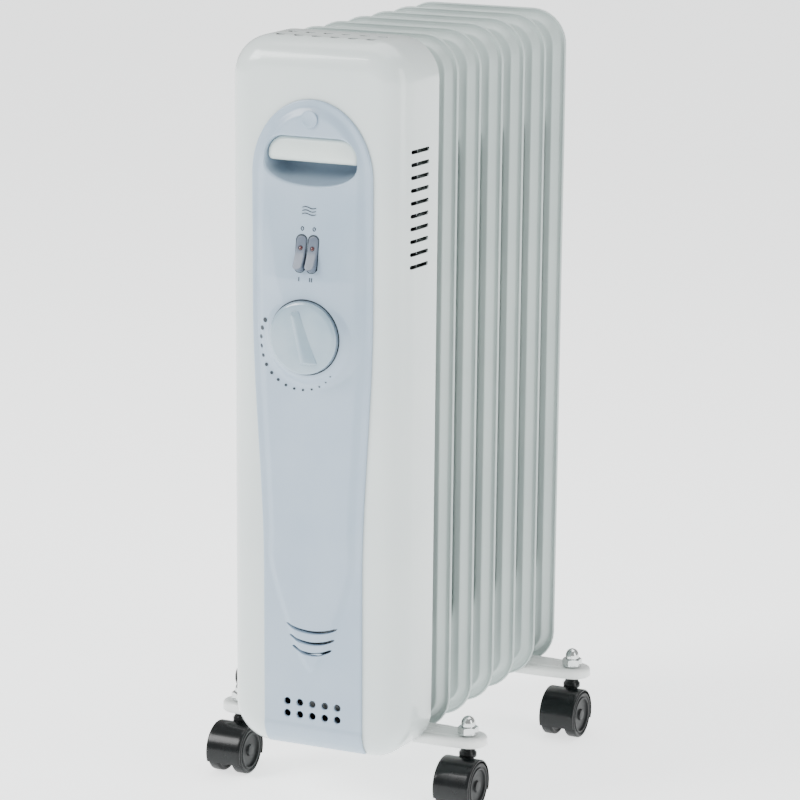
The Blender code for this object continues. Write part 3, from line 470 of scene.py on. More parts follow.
def frontSurface(z):  # the housing's front, with its rounded lower edge
    edge = housing["edge"]
    drop = min(max(housingBottom + edge - z, 0.0), edge)
    return leaned(edge - housingDepth - sqrt(edge * edge - drop * drop), z)


def housingLoops(wall):
    edge, rows = housing["edge"], []
    rear = 0.5 * mm
    for k in range(4) if not wall else (0,):  # the rolled rear edge
        rows.append((housingRear - rear * (1 - cos(pi / 2 * k / 3)) if not wall else housingRear,
                     rear * (1 - sin(pi / 2 * k / 3)) if not wall else wall, 0.0))
    for step in range(15):
        angle = pi / 2 * step / 14
        rows.append((edge - housingDepth - (edge - wall) * sin(angle),
                     edge * (1 - cos(angle)) + wall * cos(angle), housing["taper"]))
    shares = [0.04, 0.12, 0.25, 0.4, 0.5, 0.6, 0.75, 0.88, 0.96]
    loops = []
    for y, inset, taper in rows:
        corner = max(housing["corner"] - inset, 1 * mm)
        outline = roundedLoop(housingHigh.x - inset - taper, housingBottom + inset, housingTop - inset,
                              corner, corner, 12, shares)
        loops.append([(x, seamY + leaned(y, z), z) for x, z in outline])
    return loops


def obroundTool(halfLength, halfWidth, depth, turn):  # a long hole's cutter with its length along X
    outline = []
    for centre, start in ((halfLength - halfWidth, -pi / 2), (halfWidth - halfLength, pi / 2)):
        outline += [(centre + halfWidth * cos(start + pi * k / 12), halfWidth * sin(start + pi * k / 12))
                    for k in range(13)]
    tool = loft("obround", [[(x, y, z) for x, y in outline] for z in (-depth / 2, depth / 2)], "face")
    tool.data.transform(turn)
    return tool


def makeHousing():
    h = housing
    shell = loft("housing_shell", housingLoops(h["wall"])[::-1] + housingLoops(0.0))
    tools = []
    for y in h["topRows"]:
        for number in range(h["topVents"]):
            x = (number - (h["topVents"] - 1) / 2) * h["topPitch"]
            place = at(x, seamY + y, housingTop)
            tools.append(obroundTool(h["topLength"] / 2, h["topHalf"], 20 * mm, place))
    for side in (-1, 1):
        for number in range(h["slots"]):
            z = housingTop - h["slotDrop"] - number * h["slotPitch"]
            place = at(side * housingHigh.x, seamY + h["slotY"], z)
            turn = Matrix.Rotation(pi / 2, 4, "Z") @ towardFront
            tools.append(obroundTool(h["slotLength"] / 2, h["slotWidth"] / 2, 20 * mm, place @ turn))
    glandLow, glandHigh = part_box("cable_gland")
    glandAt = (glandLow + glandHigh) / 2
    tools.append(cylinder("glandHole", h["gland"] + gap, 20 * mm, 32,
                          at(-housingHigh.x, glandAt.y, glandAt.z) @ alongX))
    combine(shell, tools)
    lap, foot = h["windowLap"], housingBottom + h["edge"] + 2 * mm
    window = [(panelHalf(z) - lap, z) for z in np.linspace(foot, archBase, 30)]
    window += [((panelArch["half"] - lap) * cos(a), archBase + (archHeight - lap) * sin(a))
               for a in np.linspace(0.1, 1.5, 16)]
    outline = window + [(-x, z) for x, z in reversed(window)]
    hole = loft("window", [[(x, seamY - housingDepth + y, z) for x, z in outline] for y in (-0.03, 0.03)])
    combine(shell, [hole])
    hand(shell, housingEnamel, rootBody, ["control_housing"], 32)
    shell.data.materials.append(interiorShade)
    middle = Vector((0, seamY, housingMiddle))
    for face in shell.data.polygons:  # the inside is painted dark grey: painted shade standing in for the dark inside the closed box
        face.material_index = 1 if face.normal.dot(face.center - middle) < 0 else 0


# ---- control panel ----
panelArch = {"half": 53 * mm, "lowHalf": 44 * mm, "height": 62 * mm,
             "narrowFrom": 420 * mm, "narrowTo": 200 * mm}
panel = {
    "sheet": 2.2 * mm, "lift": 3.0 * mm, "border": 5 * mm, "ramp": 8 * mm, "roundover": 1.5 * mm,
    "tongueTip": 118 * mm, "tongueWide": 228 * mm, "edgeClearance": 0.7 * mm,
}
swell = {  # out towards the knob, with a round seat under it
    "rise": 9.0 * mm, "drop": 66.5 * mm, "length": 75 * mm, "power": 1.75,
    "crease": 38 * mm, "creaseNarrow": 18 * mm, "creaseLength": 92 * mm, "seat": 31 * mm, "seatFoot": 43 * mm,
}
recess = {"half": 40.5 * mm, "height": 38 * mm, "centre": 536.5 * mm, "corner": 16.5 * mm,
          "depth": 32.4 * mm, "wall": 1.5 * mm, "behind": 7.5 * mm}
archHeight = panelArch["height"]
archBase = panelHigh.z - archHeight


def panelHalf(z):
    p = panelArch
    share = smooth(p["narrowTo"], p["narrowFrom"], z)
    half = p["lowHalf"] + (p["half"] - p["lowHalf"]) * share
    rise = np.clip((z - archBase) / p["height"], 0.0, 1.0)
    return half * np.sqrt(np.maximum(1 - rise * rise, 0.0))


def edgeDistance(x, z):  # from a point on the panel to its edge
    half = np.where(z > archBase, panelArch["half"], panelHalf(np.minimum(z, archBase)))
    rise = np.maximum(z - archBase, 0.0)
    reach = np.sqrt((x / half) ** 2 + (rise / archHeight) ** 2)
    slope = np.sqrt((x / half ** 2) ** 2 + (rise / archHeight ** 2) ** 2) / np.maximum(reach, 1e-6)
    return np.where(reach < 1e-4, half, (1 - reach) / np.maximum(slope, 1e-6))


def swelling(x, z):  # the ridge down to the knob, and the knob's seat
    w, start = swell, panelHigh.z - swell["drop"]
    along = np.clip((start - z) / w["length"], 0.0, 1.0)
    narrow = np.clip((start - z) / w["creaseLength"], 0.0, 1.0)
    crease = w["crease"] - w["creaseNarrow"] * narrow ** 1.6
    border = panelHalf(np.minimum(z, archBase)) - panel["border"]
    below = np.maximum(knobZ - z, 0.0) * 1.07
    reach = np.hypot(x, below)
    flank = 1 - np.clip((reach - crease) / (border - crease), 0.0, 1.0)
    flank = flank * (1 + 0.25 * (1 - flank))
    ridge = w["rise"] * along ** w["power"] * np.minimum(flank, 1.0)
    radius = np.hypot(x, z - knobZ)
    seat = w["rise"] * (1 - smooth(w["seat"], w["seatFoot"], radius))
    return np.maximum(ridge, seat)


def panelRaise(x, z):  # how far the front stands out of its flat border
    p = panel
    share = np.clip((z - p["tongueTip"]) / (p["tongueWide"] - p["tongueTip"]), 0.0, 1.0)
    width = np.sqrt(share) * (1 + 1.2 * share ** 3 * (1 - share))
    reach = (panelHalf(np.minimum(z, archBase)) - p["border"]) * width
    inside = np.where(z > archBase, edgeDistance(x, z) - p["border"], reach - np.abs(x))
    tongue = smooth(0.0, p["ramp"], inside) * np.where(share > 0, 1.0, 0.0)
    raised = p["lift"] * tongue + swelling(x, z)
    near = np.clip(1 - edgeDistance(x, z) / p["roundover"], 0.0, 1.0)
    return raised - p["roundover"] * (1 - np.sqrt(1 - near ** 2))


def panelBack(z):  # the back lies on the housing, clear of its rounded edge
    clear = np.where(z < housingBottom + housing["edge"] - 0.1 * mm, panel["edgeClearance"], 0.0)
    return np.vectorize(frontSurface)(z) - gap - clear


def panelY(x, z):  # y of the finished front
    raised = panelRaise(np.asarray(x, float), np.asarray(z, float))
    return seamY + panelBack(z) - panel["sheet"] - raised


def panelRows():
    edge, foot = housing["edge"], panelLow.z
    start = np.arccos(1 - (foot - housingBottom) / edge)
    rows = [housingBottom + edge * (1 - cos(a)) for a in np.linspace(start, pi / 2, 14)]
    rows += list(np.arange(rows[-1] + 1.7 * mm, archBase - 0.8 * mm, 1.7 * mm))
    rows += [archBase + archHeight * sin(a) for a in np.linspace(0.0, radians(88.2), 42)]
    return np.array(rows)


def recessLoop(depth, grow, scoop, behind=0.0):  # one outline of the hand recess, set back by depth
    r = recess
    low = r["centre"] - r["height"] / 2 + scoop
    high = r["centre"] + r["height"] / 2 + behind
    y = float(panelY(0.0, r["centre"])) + depth
    half, middle = r["half"] + grow, r["centre"] - 1 * mm
    corner = r["corner"] + grow
    right = []
    for angle in [pi / 2 * k / 14 for k in range(15)]:  # a wide smile below, rounded corners above
        out, down = sin(angle) ** 0.9, cos(angle) ** 0.9
        right.append((max(half * out, 0.4 * mm), middle - (middle - low + grow) * down))
    for angle in [pi / 2 * k / 10 for k in range(11)]:
        right.append((half - corner + corner * cos(angle), high + grow - corner + corner * sin(angle)))
    return [(x, y, z) for x, z in right] + [(-x, y, z) for x, z in reversed(right)]


def recessTool(name, grow, mouth):
    loops = [recessLoop(depth, flare, 0.0) for depth, flare in mouth]
    depths = [k / 10 for k in range(1, 11)]
    for share in depths:
        depth = recess["depth"] * share + grow
        scoop = 17 * mm * (1 - sqrt(1 - min(share, 0.995) ** 2))
        behind = recess["behind"] * float(smooth(0.42, 0.5, share))
        loops.append(recessLoop(depth, grow - 1.5 * mm * share ** 3, scoop, behind))
    return loft(name, loops, "face")


def flaredHole(radius, flare, depth, x, z):  # a round hole with a rounded lip
    front = float(panelY(x, z))
    lip = ((1.0, 0.0), (0.4, 0.45), (0.1, 0.85), (0.0, 1.3))
    profile = [(0, 2 * mm), (radius + flare * 1.6, 2 * mm)]
    profile += [(radius + flare * out, -flare * down) for out, down in lip] + [(radius, -depth), (0, -depth)]
    return turned("hole", profile, 40, at(x, front, z) @ towardFront)


vents = {"columns": 5, "pitch": 11.3 * mm, "radius": 3.0 * mm, "heights": (90.5 * mm, 80.3 * mm)}
slits = {"heights": (157 * mm, 147.5 * mm, 138.5 * mm), "halves": (22.5 * mm, 20 * mm, 17.5 * mm),
         "sag": 4.8 * mm, "thickness": 2.3 * mm}
rocker = {"halfWidth": 4.4 * mm, "half": 14 * mm, "pitch": 10.4 * mm, "tilt": 12.0,
          "crest": 4.8 * mm, "dip": 3.2 * mm, "round": 0.7 * mm, "foot": 3.0 * mm,
          "play": 0.3 * mm, "swing": 1.0 * mm}
knob = {"radius": 29.3 * mm, "depth": 5.8 * mm, "rest": 15.0, "hole": 4.5 * mm,
        "wedgeLength": 45 * mm, "wedgeProud": 3.6 * mm}
cap = {"radius": 7 * mm, "height": 570 * mm}


def makePanel():
    rows = panelRows()
    across = np.linspace(-1.0, 1.0, 101)
    columns = across * (1.5 - 0.5 * across ** 2)  # closer together near the edges
    halves = panelHalf(rows)
    x = halves[:, None] * columns[None, :]
    z = np.repeat(rows[:, None], len(columns), axis=1)
    y = panelY(x, z)
    rim = seamY + panelBack(rows)
    bm = bmesh.new()
    front = [[bm.verts.new(point) for point in zip(x[r], y[r], z[r])] for r in range(len(rows))]
    left = [bm.verts.new((-halves[r], rim[r], rows[r])) for r in range(len(rows))]
    right = [bm.verts.new((halves[r], rim[r], rows[r])) for r in range(len(rows))]
    for r in range(len(rows) - 1):
        for c in range(len(columns) - 1):
            bm.faces.new((front[r][c], front[r][c + 1], front[r + 1][c + 1], front[r + 1][c]))
        bm.faces.new((left[r], front[r][0], front[r + 1][0], left[r + 1]))
        bm.faces.new((front[r][-1], right[r], right[r + 1], front[r + 1][-1]))
        bm.faces.new((right[r], left[r], left[r + 1], right[r + 1]))
    bm.faces.new([left[0], right[0]] + front[0][::-1])
    bm.faces.new(front[-1] + [right[-1], left[-1]])
    made = outward("control_fascia", bm)
    combine(made, [recessTool("pocketOutside", recess["wall"], ((1.6 * mm, recess["wall"]),))], "UNION")
    mouth = ((-2.0 * mm, 2.6 * mm), (0.0, 2.2 * mm), (0.35 * mm, 1.3 * mm), (0.9 * mm, 0.6 * mm),
             (1.6 * mm, 0.2 * mm), (2.6 * mm, 0.0))
    tools = [recessTool("pocketInside", 0.0, mouth)]
    for number in range(2):
        middleX = (number - 0.5) * rocker["pitch"]
        front = float(panelY(middleX, rockerZ))
        loops = []
        for depth, flare in ((-2.0, 0.9), (0.0, 0.7), (0.3, 0.3), (0.8, 0.08), (1.4, 0.0), (7.5, 0.0)):
            halfWidth = rocker["halfWidth"] + rocker["play"] + flare * mm * 0.45
            half = rocker["half"] + rocker["swing"] + flare * mm
            outline = roundedLoop(halfWidth, -half, half, halfWidth * 0.9, halfWidth * 0.9, 8)
            loops.append([(middleX + px, front + depth * mm, rockerZ + pz) for px, pz in outline])
        tools.append(loft("rockerWindow", loops, "face"))
    tools.append(flaredHole(knob["hole"], 0.4 * mm, 8 * mm, 0.0, knobZ))
    for height in vents["heights"]:
        for number in range(vents["columns"]):
            x = (number - (vents["columns"] - 1) / 2) * vents["pitch"]
            tools.append(flaredHole(vents["radius"], 0.45 * mm, 6 * mm, x, height))
    for height, half in zip(slits["heights"], slits["halves"]):
        tools.append(slitTool(height, half))
    combine(made, tools)
    hand(made, panelPlastic, rootBody, ["control_panel"], 42)


def slitTool(height, half):  # a thin slot that sags in the middle, with a soft lip
    loops = []
    for depth, flare in ((-1.5, 0.7), (0.0, 0.5), (0.4, 0.15), (0.9, 0.0), (7.0, 0.0)):
        thick, long, outline = slits["thickness"] / 2 + flare * mm, half + flare * mm, []
        for side in (-1, 1):
            for k in range(25):
                share = side * (2 * k / 24 - 1)
                px, taper = long * share, sqrt(max(1 - abs(share) ** 8, 0.02))
                sag = slits["sag"] * (1 - min(abs(px / half), 1.0) ** 2)
                outline.append((px, height - sag + side * thick * taper))
        loops.append([(px, float(panelY(px, pz)) + depth * mm, pz) for px, pz in outline])
    return loft("slit", loops, "face")


def makeGrip():  # the bar that fingers hook behind
    low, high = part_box("handle_grip")
    outer, top = high.x - 0.1 * mm, high.z
    loops, depth = [], high.y - low.y
    for share in [k / 12 for k in range(13)]:
        bulge = sqrt(max(1 - abs(2 * share - 1) ** 2.6, 0.0))
        grow = 4.2 * mm * (bulge - 1)
        foot, roof, lowCorner = low.z - grow, top + grow, 4.4 * mm + grow * 0.6
        highCorner = min(15.6 * mm + grow, roof - foot - lowCorner - 0.8 * mm)
        outline = roundedLoop(outer + grow, foot, roof, lowCorner, highCorner, 10, (0.3, 0.6))
        loops.append([(x, low.y + depth * share, z) for x, z in outline])
    made = loft("recess_grip", loops, "face")
    hand(made, gripPlastic, rootBody, ["handle_grip"], 50)


def makeCap():  # round plug with a dished face
    r = cap["radius"] / mm
    profile = [(0, 0.6), (r * 0.45, 0.7), (r * 0.72, 1.0), (r * 0.86, 1.35), (r * 0.95, 1.3), (r, 0.9),
               (r, 0.2), (r - 0.4, 0.0), (r - 1.8, 0.0), (r - 1.8, -3.4), (0, -3.4)]
    low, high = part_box("panel_cap")
    base = float(panelY(0.0, cap["height"])) - gap
    made = turned("badge_cap", inMm(profile), 64,
                  at(0, base, (low.z + high.z) / 2) @ towardFront)
    hand(made, panelPlastic, rootBody, ["panel_cap"])


def softened(corners, radius):  # a flat outline with its corners rounded
    outline = []
    for number, corner in enumerate(corners):
        here = Vector(corner)
        before = Vector(corners[number - 1]) - here
        after = Vector(corners[(number + 1) % len(corners)]) - here
        reach = min(radius, before.length * 0.45, after.length * 0.45)
        start, end = here + before.normalized() * reach, here + after.normalized() * reach
        for k in range(7):
            share = k / 6
            outline.append(start * (1 - share) ** 2 + here * 2 * share * (1 - share) + end * share ** 2)
    return outline


def makeKnob():
    k, d = knob, knob["depth"]
    profile = [(0, d)] + [(k["radius"] * 0.92 * sin(a), d - 0.9 * mm * (1 - cos(a)) / (1 - cos(1.2)))
                          for a in np.linspace(0.12, 1.2, 10)]
    edgeRadius, edgeHeight = profile[-1]
    corner = k["radius"] - edgeRadius
    profile += [(edgeRadius + corner * sin(a), edgeHeight - 2.7 * mm * (1 - cos(a)))
                for a in np.linspace(0.2, pi / 2, 10)]
    profile += [(k["radius"], 0.9 * mm), (k["radius"] - 0.3 * mm, 0.3 * mm), (k["radius"] - 0.9 * mm, 0.0),
                (3.3 * mm, 0.0), (3.3 * mm, d * 0.55), (0, d * 0.55)]
    made = turned("dial_knob", profile, 128)
    loops, end = [], k["wedgeLength"] / mm / 2
    for share in (-1.0, -0.15, 0.0, 0.2, 0.45, 0.68, 0.86, 0.96, 1.0):  # steep left, sloping right
        up, lean = share * k["wedgeProud"], max(share, 0.0)
        tuck = 1 - sqrt(max(1 - lean ** 2, 0.0))
        corners = [(-3.6 + 0.8 * lean + tuck, end - 2.0 * lean - tuck),
                   (-5.2 + 0.8 * lean + tuck, 2.0 - end + 2.0 * lean + tuck),
                   (8.6 - 8.6 * lean - tuck, -end + 2.6 * lean + tuck),
                   (3.4 - 2.6 * lean - tuck, end - 0.6 - 2.2 * lean - tuck)]
        loops.append([(x, z, d + up) for x, z in inMm(softened(corners, 1.4))])
    combine(made, [loft("wedge", loops, "face")], "UNION")
    made.data.transform(at(0, knobBack, knobZ) @ towardFront @ Matrix.Rotation(radians(k["rest"]), 4, "Z"))
    hand(made, knobPlastic, "knob", ["thermostat_knob"], 35)


def makeRockers():
    r = rocker
    for number, body in ((1, "rocker_low"), (2, "rocker_high")):
        pivot, loops = pivots[body], []
        rings = [(0.0, r["foot"], 0.0), (0.0, None, 0.0)]
        rings += [(r["round"] * (1 - cos(a)), None, r["round"] * sin(a)) for a in np.linspace(0.3, pi / 2, 5)]
        rings += [(inset * mm, None, r["round"]) for inset in (1.4, 2.2, 3.0, 3.7, 4.1)]
        for inset, foot, up in rings:
            halfWidth, half = r["halfWidth"] - 0.1 * mm - inset, r["half"] - inset
            corner = max(halfWidth * 0.9, 0.15 * mm)
            outline = roundedLoop(halfWidth, -half, half, corner, corner, 6, np.linspace(0.06, 0.94, 13))
            loop = []
            for x, z in outline:
                top = -(r["dip"] + (r["crest"] - r["dip"]) * (abs(z) / r["half"]) ** 1.4) + r["round"] - up
                loop.append((x, foot if foot is not None else top, z))
            loops.append(loop)
        made = loft(f"rocker_{number}_moulded", loops)
        slope = (r["crest"] - r["dip"]) / r["half"]
        lensAt = Vector((0, -(r["dip"] + slope * 4 * mm), 4 * mm))
        combine(made, [cylinder("seat", 2.0 * mm, 3 * mm, 32, at(*lensAt) @ towardFront)])
        above, below = float(panelY(0.0, rockerZ + 5 * mm)), float(panelY(0.0, rockerZ - 5 * mm))
        tilt = at(*pivot) @ Matrix.Rotation(-radians(r["tilt"]) - (above - below) / (10 * mm), 4, "X")
        made.data.transform(tilt)
        hand(made, rockerPlastic, body, [f"rocker_{number}"], 40)
        profile = [(0, 0.75), (0.7, 0.68), (1.3, 0.42), (1.7, 0.05), (1.7, -0.9), (0, -0.9)]
        lens = turned(f"lens_{number}_domed", inMm(profile), 32,
                      tilt @ at(lensAt.x, lensAt.y + 0.1 * mm, lensAt.z) @ towardFront)
        hand(lens, lensPlastic, body, [f"rocker_lens_{number}"], 50)


# ---- print on the panel, and painted gap shade round the controls ----
def onPanel(x, z, proud):
    return float(panelY(x, z)) - proud


def printed(name, outline, x, z):  # a thin film of ink laid on the panel
    loops = []
    for proud in (-0.3 * mm, 0.5 * mm):
        loops.append([(x + px, onPanel(x + px, z + pz, proud), z + pz) for px, pz in outline])
    return loft(name, loops, "face")


def gapShadeRing(name, outer, inner, x, z):  # a thin dark ring round a control: painted shade standing in for the shadow in the gap round it
    loops = []
    for outline, proud in ((outer, -0.3 * mm), (outer, 0.3 * mm), (inner, 0.3 * mm), (inner, -0.3 * mm)):
        loops.append([(x + px, onPanel(x + px, z + pz, proud), z + pz) for px, pz in outline])
    return loft(name, loops, closed=True)


def roundMark(x, z, radius):
    turns = [2 * pi * k / 24 for k in range(24)]
    return printed("dot", [(radius * cos(a), radius * sin(a)) for a in turns], x, z)


# shadeRingOuter and shadeRingInner bound the painted shade ring round the knob
marks = {"dots": 15, "from": 147.0, "step": 12.6, "radius": 35.5 * mm, "shiftX": -8 * mm, "shiftZ": -9.5 * mm,
         "large": 1.9 * mm, "small": 0.5 * mm, "shadeRingOuter": 30.6 * mm, "shadeRingInner": 29.6 * mm,
         "offRise": 20 * mm, "onDrop": 19.5 * mm, "waveRise": 31.5 * mm, "wavePitch": 2.6 * mm}


def makePrint():
    pieces = []
    for number in range(marks["dots"]):
        angle = radians(marks["from"] + marks["step"] * number)
        size = marks["large"] + (marks["small"] - marks["large"]) * number / (marks["dots"] - 1)
        pieces.append(roundMark(marks["shiftX"] + marks["radius"] * cos(angle),
                                knobZ + marks["shiftZ"] + marks["radius"] * sin(angle), size))
    # Painted shade: a dark ring on the panel round the knob, standing in for the shadow in its gap.
    turns = [2 * pi * k / 72 for k in range(72)]
    gapShade = [[(r * cos(a), r * sin(a)) for a in turns] for r in (marks["shadeRingOuter"], marks["shadeRingInner"])]
    pieces.append(gapShadeRing("knobGapShadow", gapShade[0], gapShade[1], 0.0, knobZ))
    for side in (-1, 1):  # off and on marks above and below each rocker
        x, z = side * rocker["pitch"] / 2, rockerZ + marks["offRise"]
        # Painted shade: a dark ring round each rocker window, standing in for the shadow in its gap.
        border = [roundedLoop(w * mm, low * mm, high * mm, w * 0.92 * mm, w * 0.92 * mm, 8, (0.3, 0.7))
                  for w, low, high in ((4.95, -14.6, 15.6), (4.45, -14.1, 14.3))]
        pieces.append(gapShadeRing("rockerGapShadow", border[0], border[1], x, rockerZ))
        ring = []
        for radius in (1.7 * mm, 1.15 * mm):
            for proud in (0.3 * mm, -0.3 * mm) if radius > 1.5 * mm else (-0.3 * mm, 0.5 * mm):
                ring.append([(x + radius * 0.8 * cos(a), onPanel(x, z, proud), z + radius * sin(a))
                             for a in [2 * pi * k / 32 for k in range(32)]])
        pieces.append(loft("offMark", ring, closed=True))
        bars = (0.0,) if side < 0 else (-0.9 * mm, 0.9 * mm)
        for shift in bars:
            bar = inMm([(-0.28, -1.6), (0.28, -1.6), (0.28, 1.6), (-0.28, 1.6)])
            pieces.append(printed("onMark", bar, x + shift, rockerZ - marks["onDrop"]))
    for number in range(3):  # three plain heat waves
        outline = []
        for side in (1, -1):
            for k in range(17):
                share = k / 16 if side > 0 else 1 - k / 16
                outline.append(((-6 + 12 * share) * mm, (0.7 * sin(2 * pi * share) + side * 0.28) * mm))
        height = rockerZ + marks["waveRise"] + number * marks["wavePitch"]
        pieces.append(printed("wave", outline, 0.0, height))
    bm = bmesh.new()
    for piece in pieces:
        bm.from_mesh(piece.data)
        bpy.data.objects.remove(piece, do_unlink=True)
    # real print and painted gap shade together, in the one dark grey
    hand(fromBmesh("panel_print_and_painted_shade", bm), printInkAndShade, rootBody, (), 60)


makeHousing()
print("stage: housing made")
makePanel()
makeGrip()
makeCap()
makeKnob()
makeRockers()
makePrint()
print("stage: panel and controls made")


# ---- foot brackets and castors ----
foot = {"halfLength": 121 * mm, "tip": 15 * mm, "straight": 80 * mm, "sheet": 2 * mm,
        "round": 3.0 * mm, "rib": 0.55 * mm, "stud": 4.3 * mm, "bolt": 3.3 * mm}
castor = {"wheel": 20 * mm, "width": 10 * mm, "web": 11 * mm, "running": 0.4 * mm, "wall": 1.4 * mm,
          "from": -22.0, "play": 0.9 * mm, "neck": 5.6 * mm, "axle": 2.8 * mm,
          "stud": 4.3 * mm, "pin": 3.3 * mm, "shoulder": 8.3 * mm}


def bracketLoop(inset, z, middleY):
    low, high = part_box("foot_bracket_front")
    halfWidth = (high.y - low.y) / 2
    centre, radius = foot["halfLength"] - foot["tip"], foot["tip"] - inset
    right = [(foot["straight"] * share, -(halfWidth - inset)) for share in (0.2, 0.6, 0.85, 0.95, 1.0)]
    right += [(centre + radius * cos(radians(a)), radius * sin(radians(a))) for a in np.linspace(-80, 80, 21)]
    right += [(foot["straight"] * share, halfWidth - inset) for share in (1.0, 0.95, 0.85, 0.6, 0.2)]
    return [(x, middleY + y, z) for x, y in right] + [(-x, middleY - y, z) for x, y in right]


def makeBrackets():
    for word in ("front", "rear"):
        low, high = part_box(f"foot_bracket_{word}")
        middleY, f = (low.y + high.y) / 2, foot
        bends = np.linspace(0.0, pi / 2, 7)
        outer = [bracketLoop(0.3 * mm, low.z, middleY), bracketLoop(0.0, low.z + 0.4 * mm, middleY)]
        outer += [bracketLoop(f["round"] * (1 - cos(a)), high.z - f["round"] * (1 - sin(a)), middleY)
                  for a in bends]
        for inset, drop in ((4.6, 0.0), (5.1, 0.18), (5.6, 0.8), (6.1, 1.0), (8.6, 1.0), (9.1, 0.8),
                            (9.6, 0.18), (10.1, 0.0), (10.6, 0.0)):
            outer.append(bracketLoop(inset * mm, high.z - drop * f["rib"], middleY))
        inside = f["round"] - f["sheet"]
        inner = [bracketLoop(f["sheet"] - 0.3 * mm, low.z, middleY),
                 bracketLoop(f["sheet"], low.z + 0.4 * mm, middleY)]
        inner += [bracketLoop(f["sheet"] + inside * (1 - cos(a)),
                              high.z - f["sheet"] - inside * (1 - sin(a)), middleY) for a in bends]
        made = loft(f"foot_pressing_{word}", inner[::-1] + outer, "face")
        holes = []
        for side in ("left", "right"):
            for node, radius, sides in (("castor_stud", f["stud"], 32), ("wing_nut", f["bolt"], 24)):
                left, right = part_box(f"{node}_{word}_{side}")
                place = at((left.x + right.x) / 2, middleY, high.z)
                holes.append(cylinder("hole", radius, 20 * mm, sides, place))
        combine(made, holes)
        hand(made, bracketEnamel, rootBody, [f"foot_bracket_{word}"], 40)


def acornNut(name, x, y, z):
    dome = [(0, 15.5), (1.6, 15.25), (3.1, 14.55), (4.4, 13.4), (5.3, 11.9), (5.75, 10.3), (5.85, 8.6),
            (5.85, 6.6), (5.85, 5.0), (0, 5.0)]
    made = turned(name, inMm(dome), 48)
    corner = 7.5 / cos(pi / 6)
    hexagon = turned("hex", inMm([(0, 6.7), (corner, 6.7), (corner, 0.8), (0, 0.8)]), 6)
    chamfer = turned("chamfer", inMm([(0, 6.7), (7.3, 6.7), (8.8, 5.8), (8.8, 0.0), (0, 0.0)]), 48)
    combine(hexagon, [chamfer], "INTERSECT")
    combine(made, [hexagon], "UNION")
    flange = [(0, 1.9), (7.4, 1.7), (8.1, 1.3), (8.2, 0.7), (8.0, 0.1), (7.7, 0.0), (0, 0.0)]
    combine(made, [turned("flange", inMm(flange), 48)], "UNION")
    combine(made, [cylinder("bore", 4.3 * mm, 26 * mm, 32)])
    made.data.transform(at(x, y, z))
    return made


def hoodMesh(name, axle, stud, top):  # glossy roof over both wheels, with a web and a neck
    c = castor
    inner = c["wheel"] + c["play"]
    half = c["web"] / 2 + c["width"] + 0.3 * mm
    section = []
    for x, r in ((0.0, 0.0), (0.0, 0.75), (0.35, 1.2), (1.0, 1.4), (3.0, 1.4)):
        section.append((x * mm - half, inner + r * mm))
    section += [(0.0, inner + 1.4 * mm)] + [(-x, r) for x, r in reversed(section)]
    section += [(half - 0.6 * mm, inner), (0.0, inner), (0.6 * mm - half, inner)]
    angles = np.linspace(radians(c["from"]), radians(180 - c["from"]), 61)
    loops = [[(axle.x + x, axle.y + r * cos(a), axle.z + r * sin(a)) for x, r in section] for a in angles]
    hood = loft(name, loops, "face")
    middle = inner + c["wall"] / 2
    disc = [(middle * cos(a), middle * sin(a)) for a in np.linspace(angles[0], angles[-1], 49)]
    web = loft("web", [[(axle.x + x, axle.y + p, axle.z + q) for p, q in disc]
                       for x in (-c["web"] / 2, c["web"] / 2)], "face")
    combine(hood, [web], "UNION")
    neckFoot = axle.z + 12 * mm
    profile = [(0, top)]
    for grow, drop in ((-0.5, 0.0), (0.0, 0.5), (0.0, 9.4), (0.5, 11.2), (1.8, 12.8), (1.8, 16), (-0.5, 18)):
        profile.append((c["neck"] + grow * mm, top - drop * mm))
    profile += [(c["neck"] - 0.5 * mm, neckFoot), (0, neckFoot)]
    combine(hood, [turned("neck", profile, 48, at(stud.x, stud.y, 0))], "UNION")
    combine(hood, [cylinder("bore", c["axle"], 60 * mm, 24, at(*axle) @ alongX)])
    studFoot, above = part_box("castor_stud_front_left")[0].z, top + 20 * mm
    shoulder, end = studFoot + c["shoulder"], studFoot - gap
    bore = [(0, above), (c["stud"], above), (c["stud"], shoulder), (c["pin"], shoulder), (c["pin"], end),
            (0, end)]
    combine(hood, [turned("studBore", bore, 32, at(stud.x, stud.y, 0))])
    return hood


def wheelMesh(name, axle, inside, way):  # way is the side that faces out
    r, w = castor["wheel"] / mm, castor["width"] / mm
    cover = [(0, 0.25), (3.6, 0.25), (4.4, 0.35), (4.9, 1.3), (5.2, 1.9), (9.5, 2.1), (13.2, 1.9),
             (13.7, 1.5), (13.9, 0.4), (14.3, 0.05), (15.2, 0.05), (15.6, 0.4), (15.8, 0.9), (16.6, 0.9),
             (17.0, 0.5), (17.6, 0.1), (18.4, 0.0), (19.3, 0.35), (19.85, 1.0), (r, 1.8)]
    profile = [(a, w - b) for a, b in cover]
    profile += [(r, 1.8), (19.85, 1.0), (19.3, 0.35), (18.4, 0.0), (17.4, 0.1), (16.6, 0.9), (8.0, 1.4),
                (5.5, 0.1), (2.8, 0.1), (2.8, w - 0.55), (0, w - 0.55)]
    turn = Matrix.Rotation(way * pi / 2, 4, "Y")
    return turned(name, inMm(profile), 96, at(inside, axle.y, axle.z) @ turn)


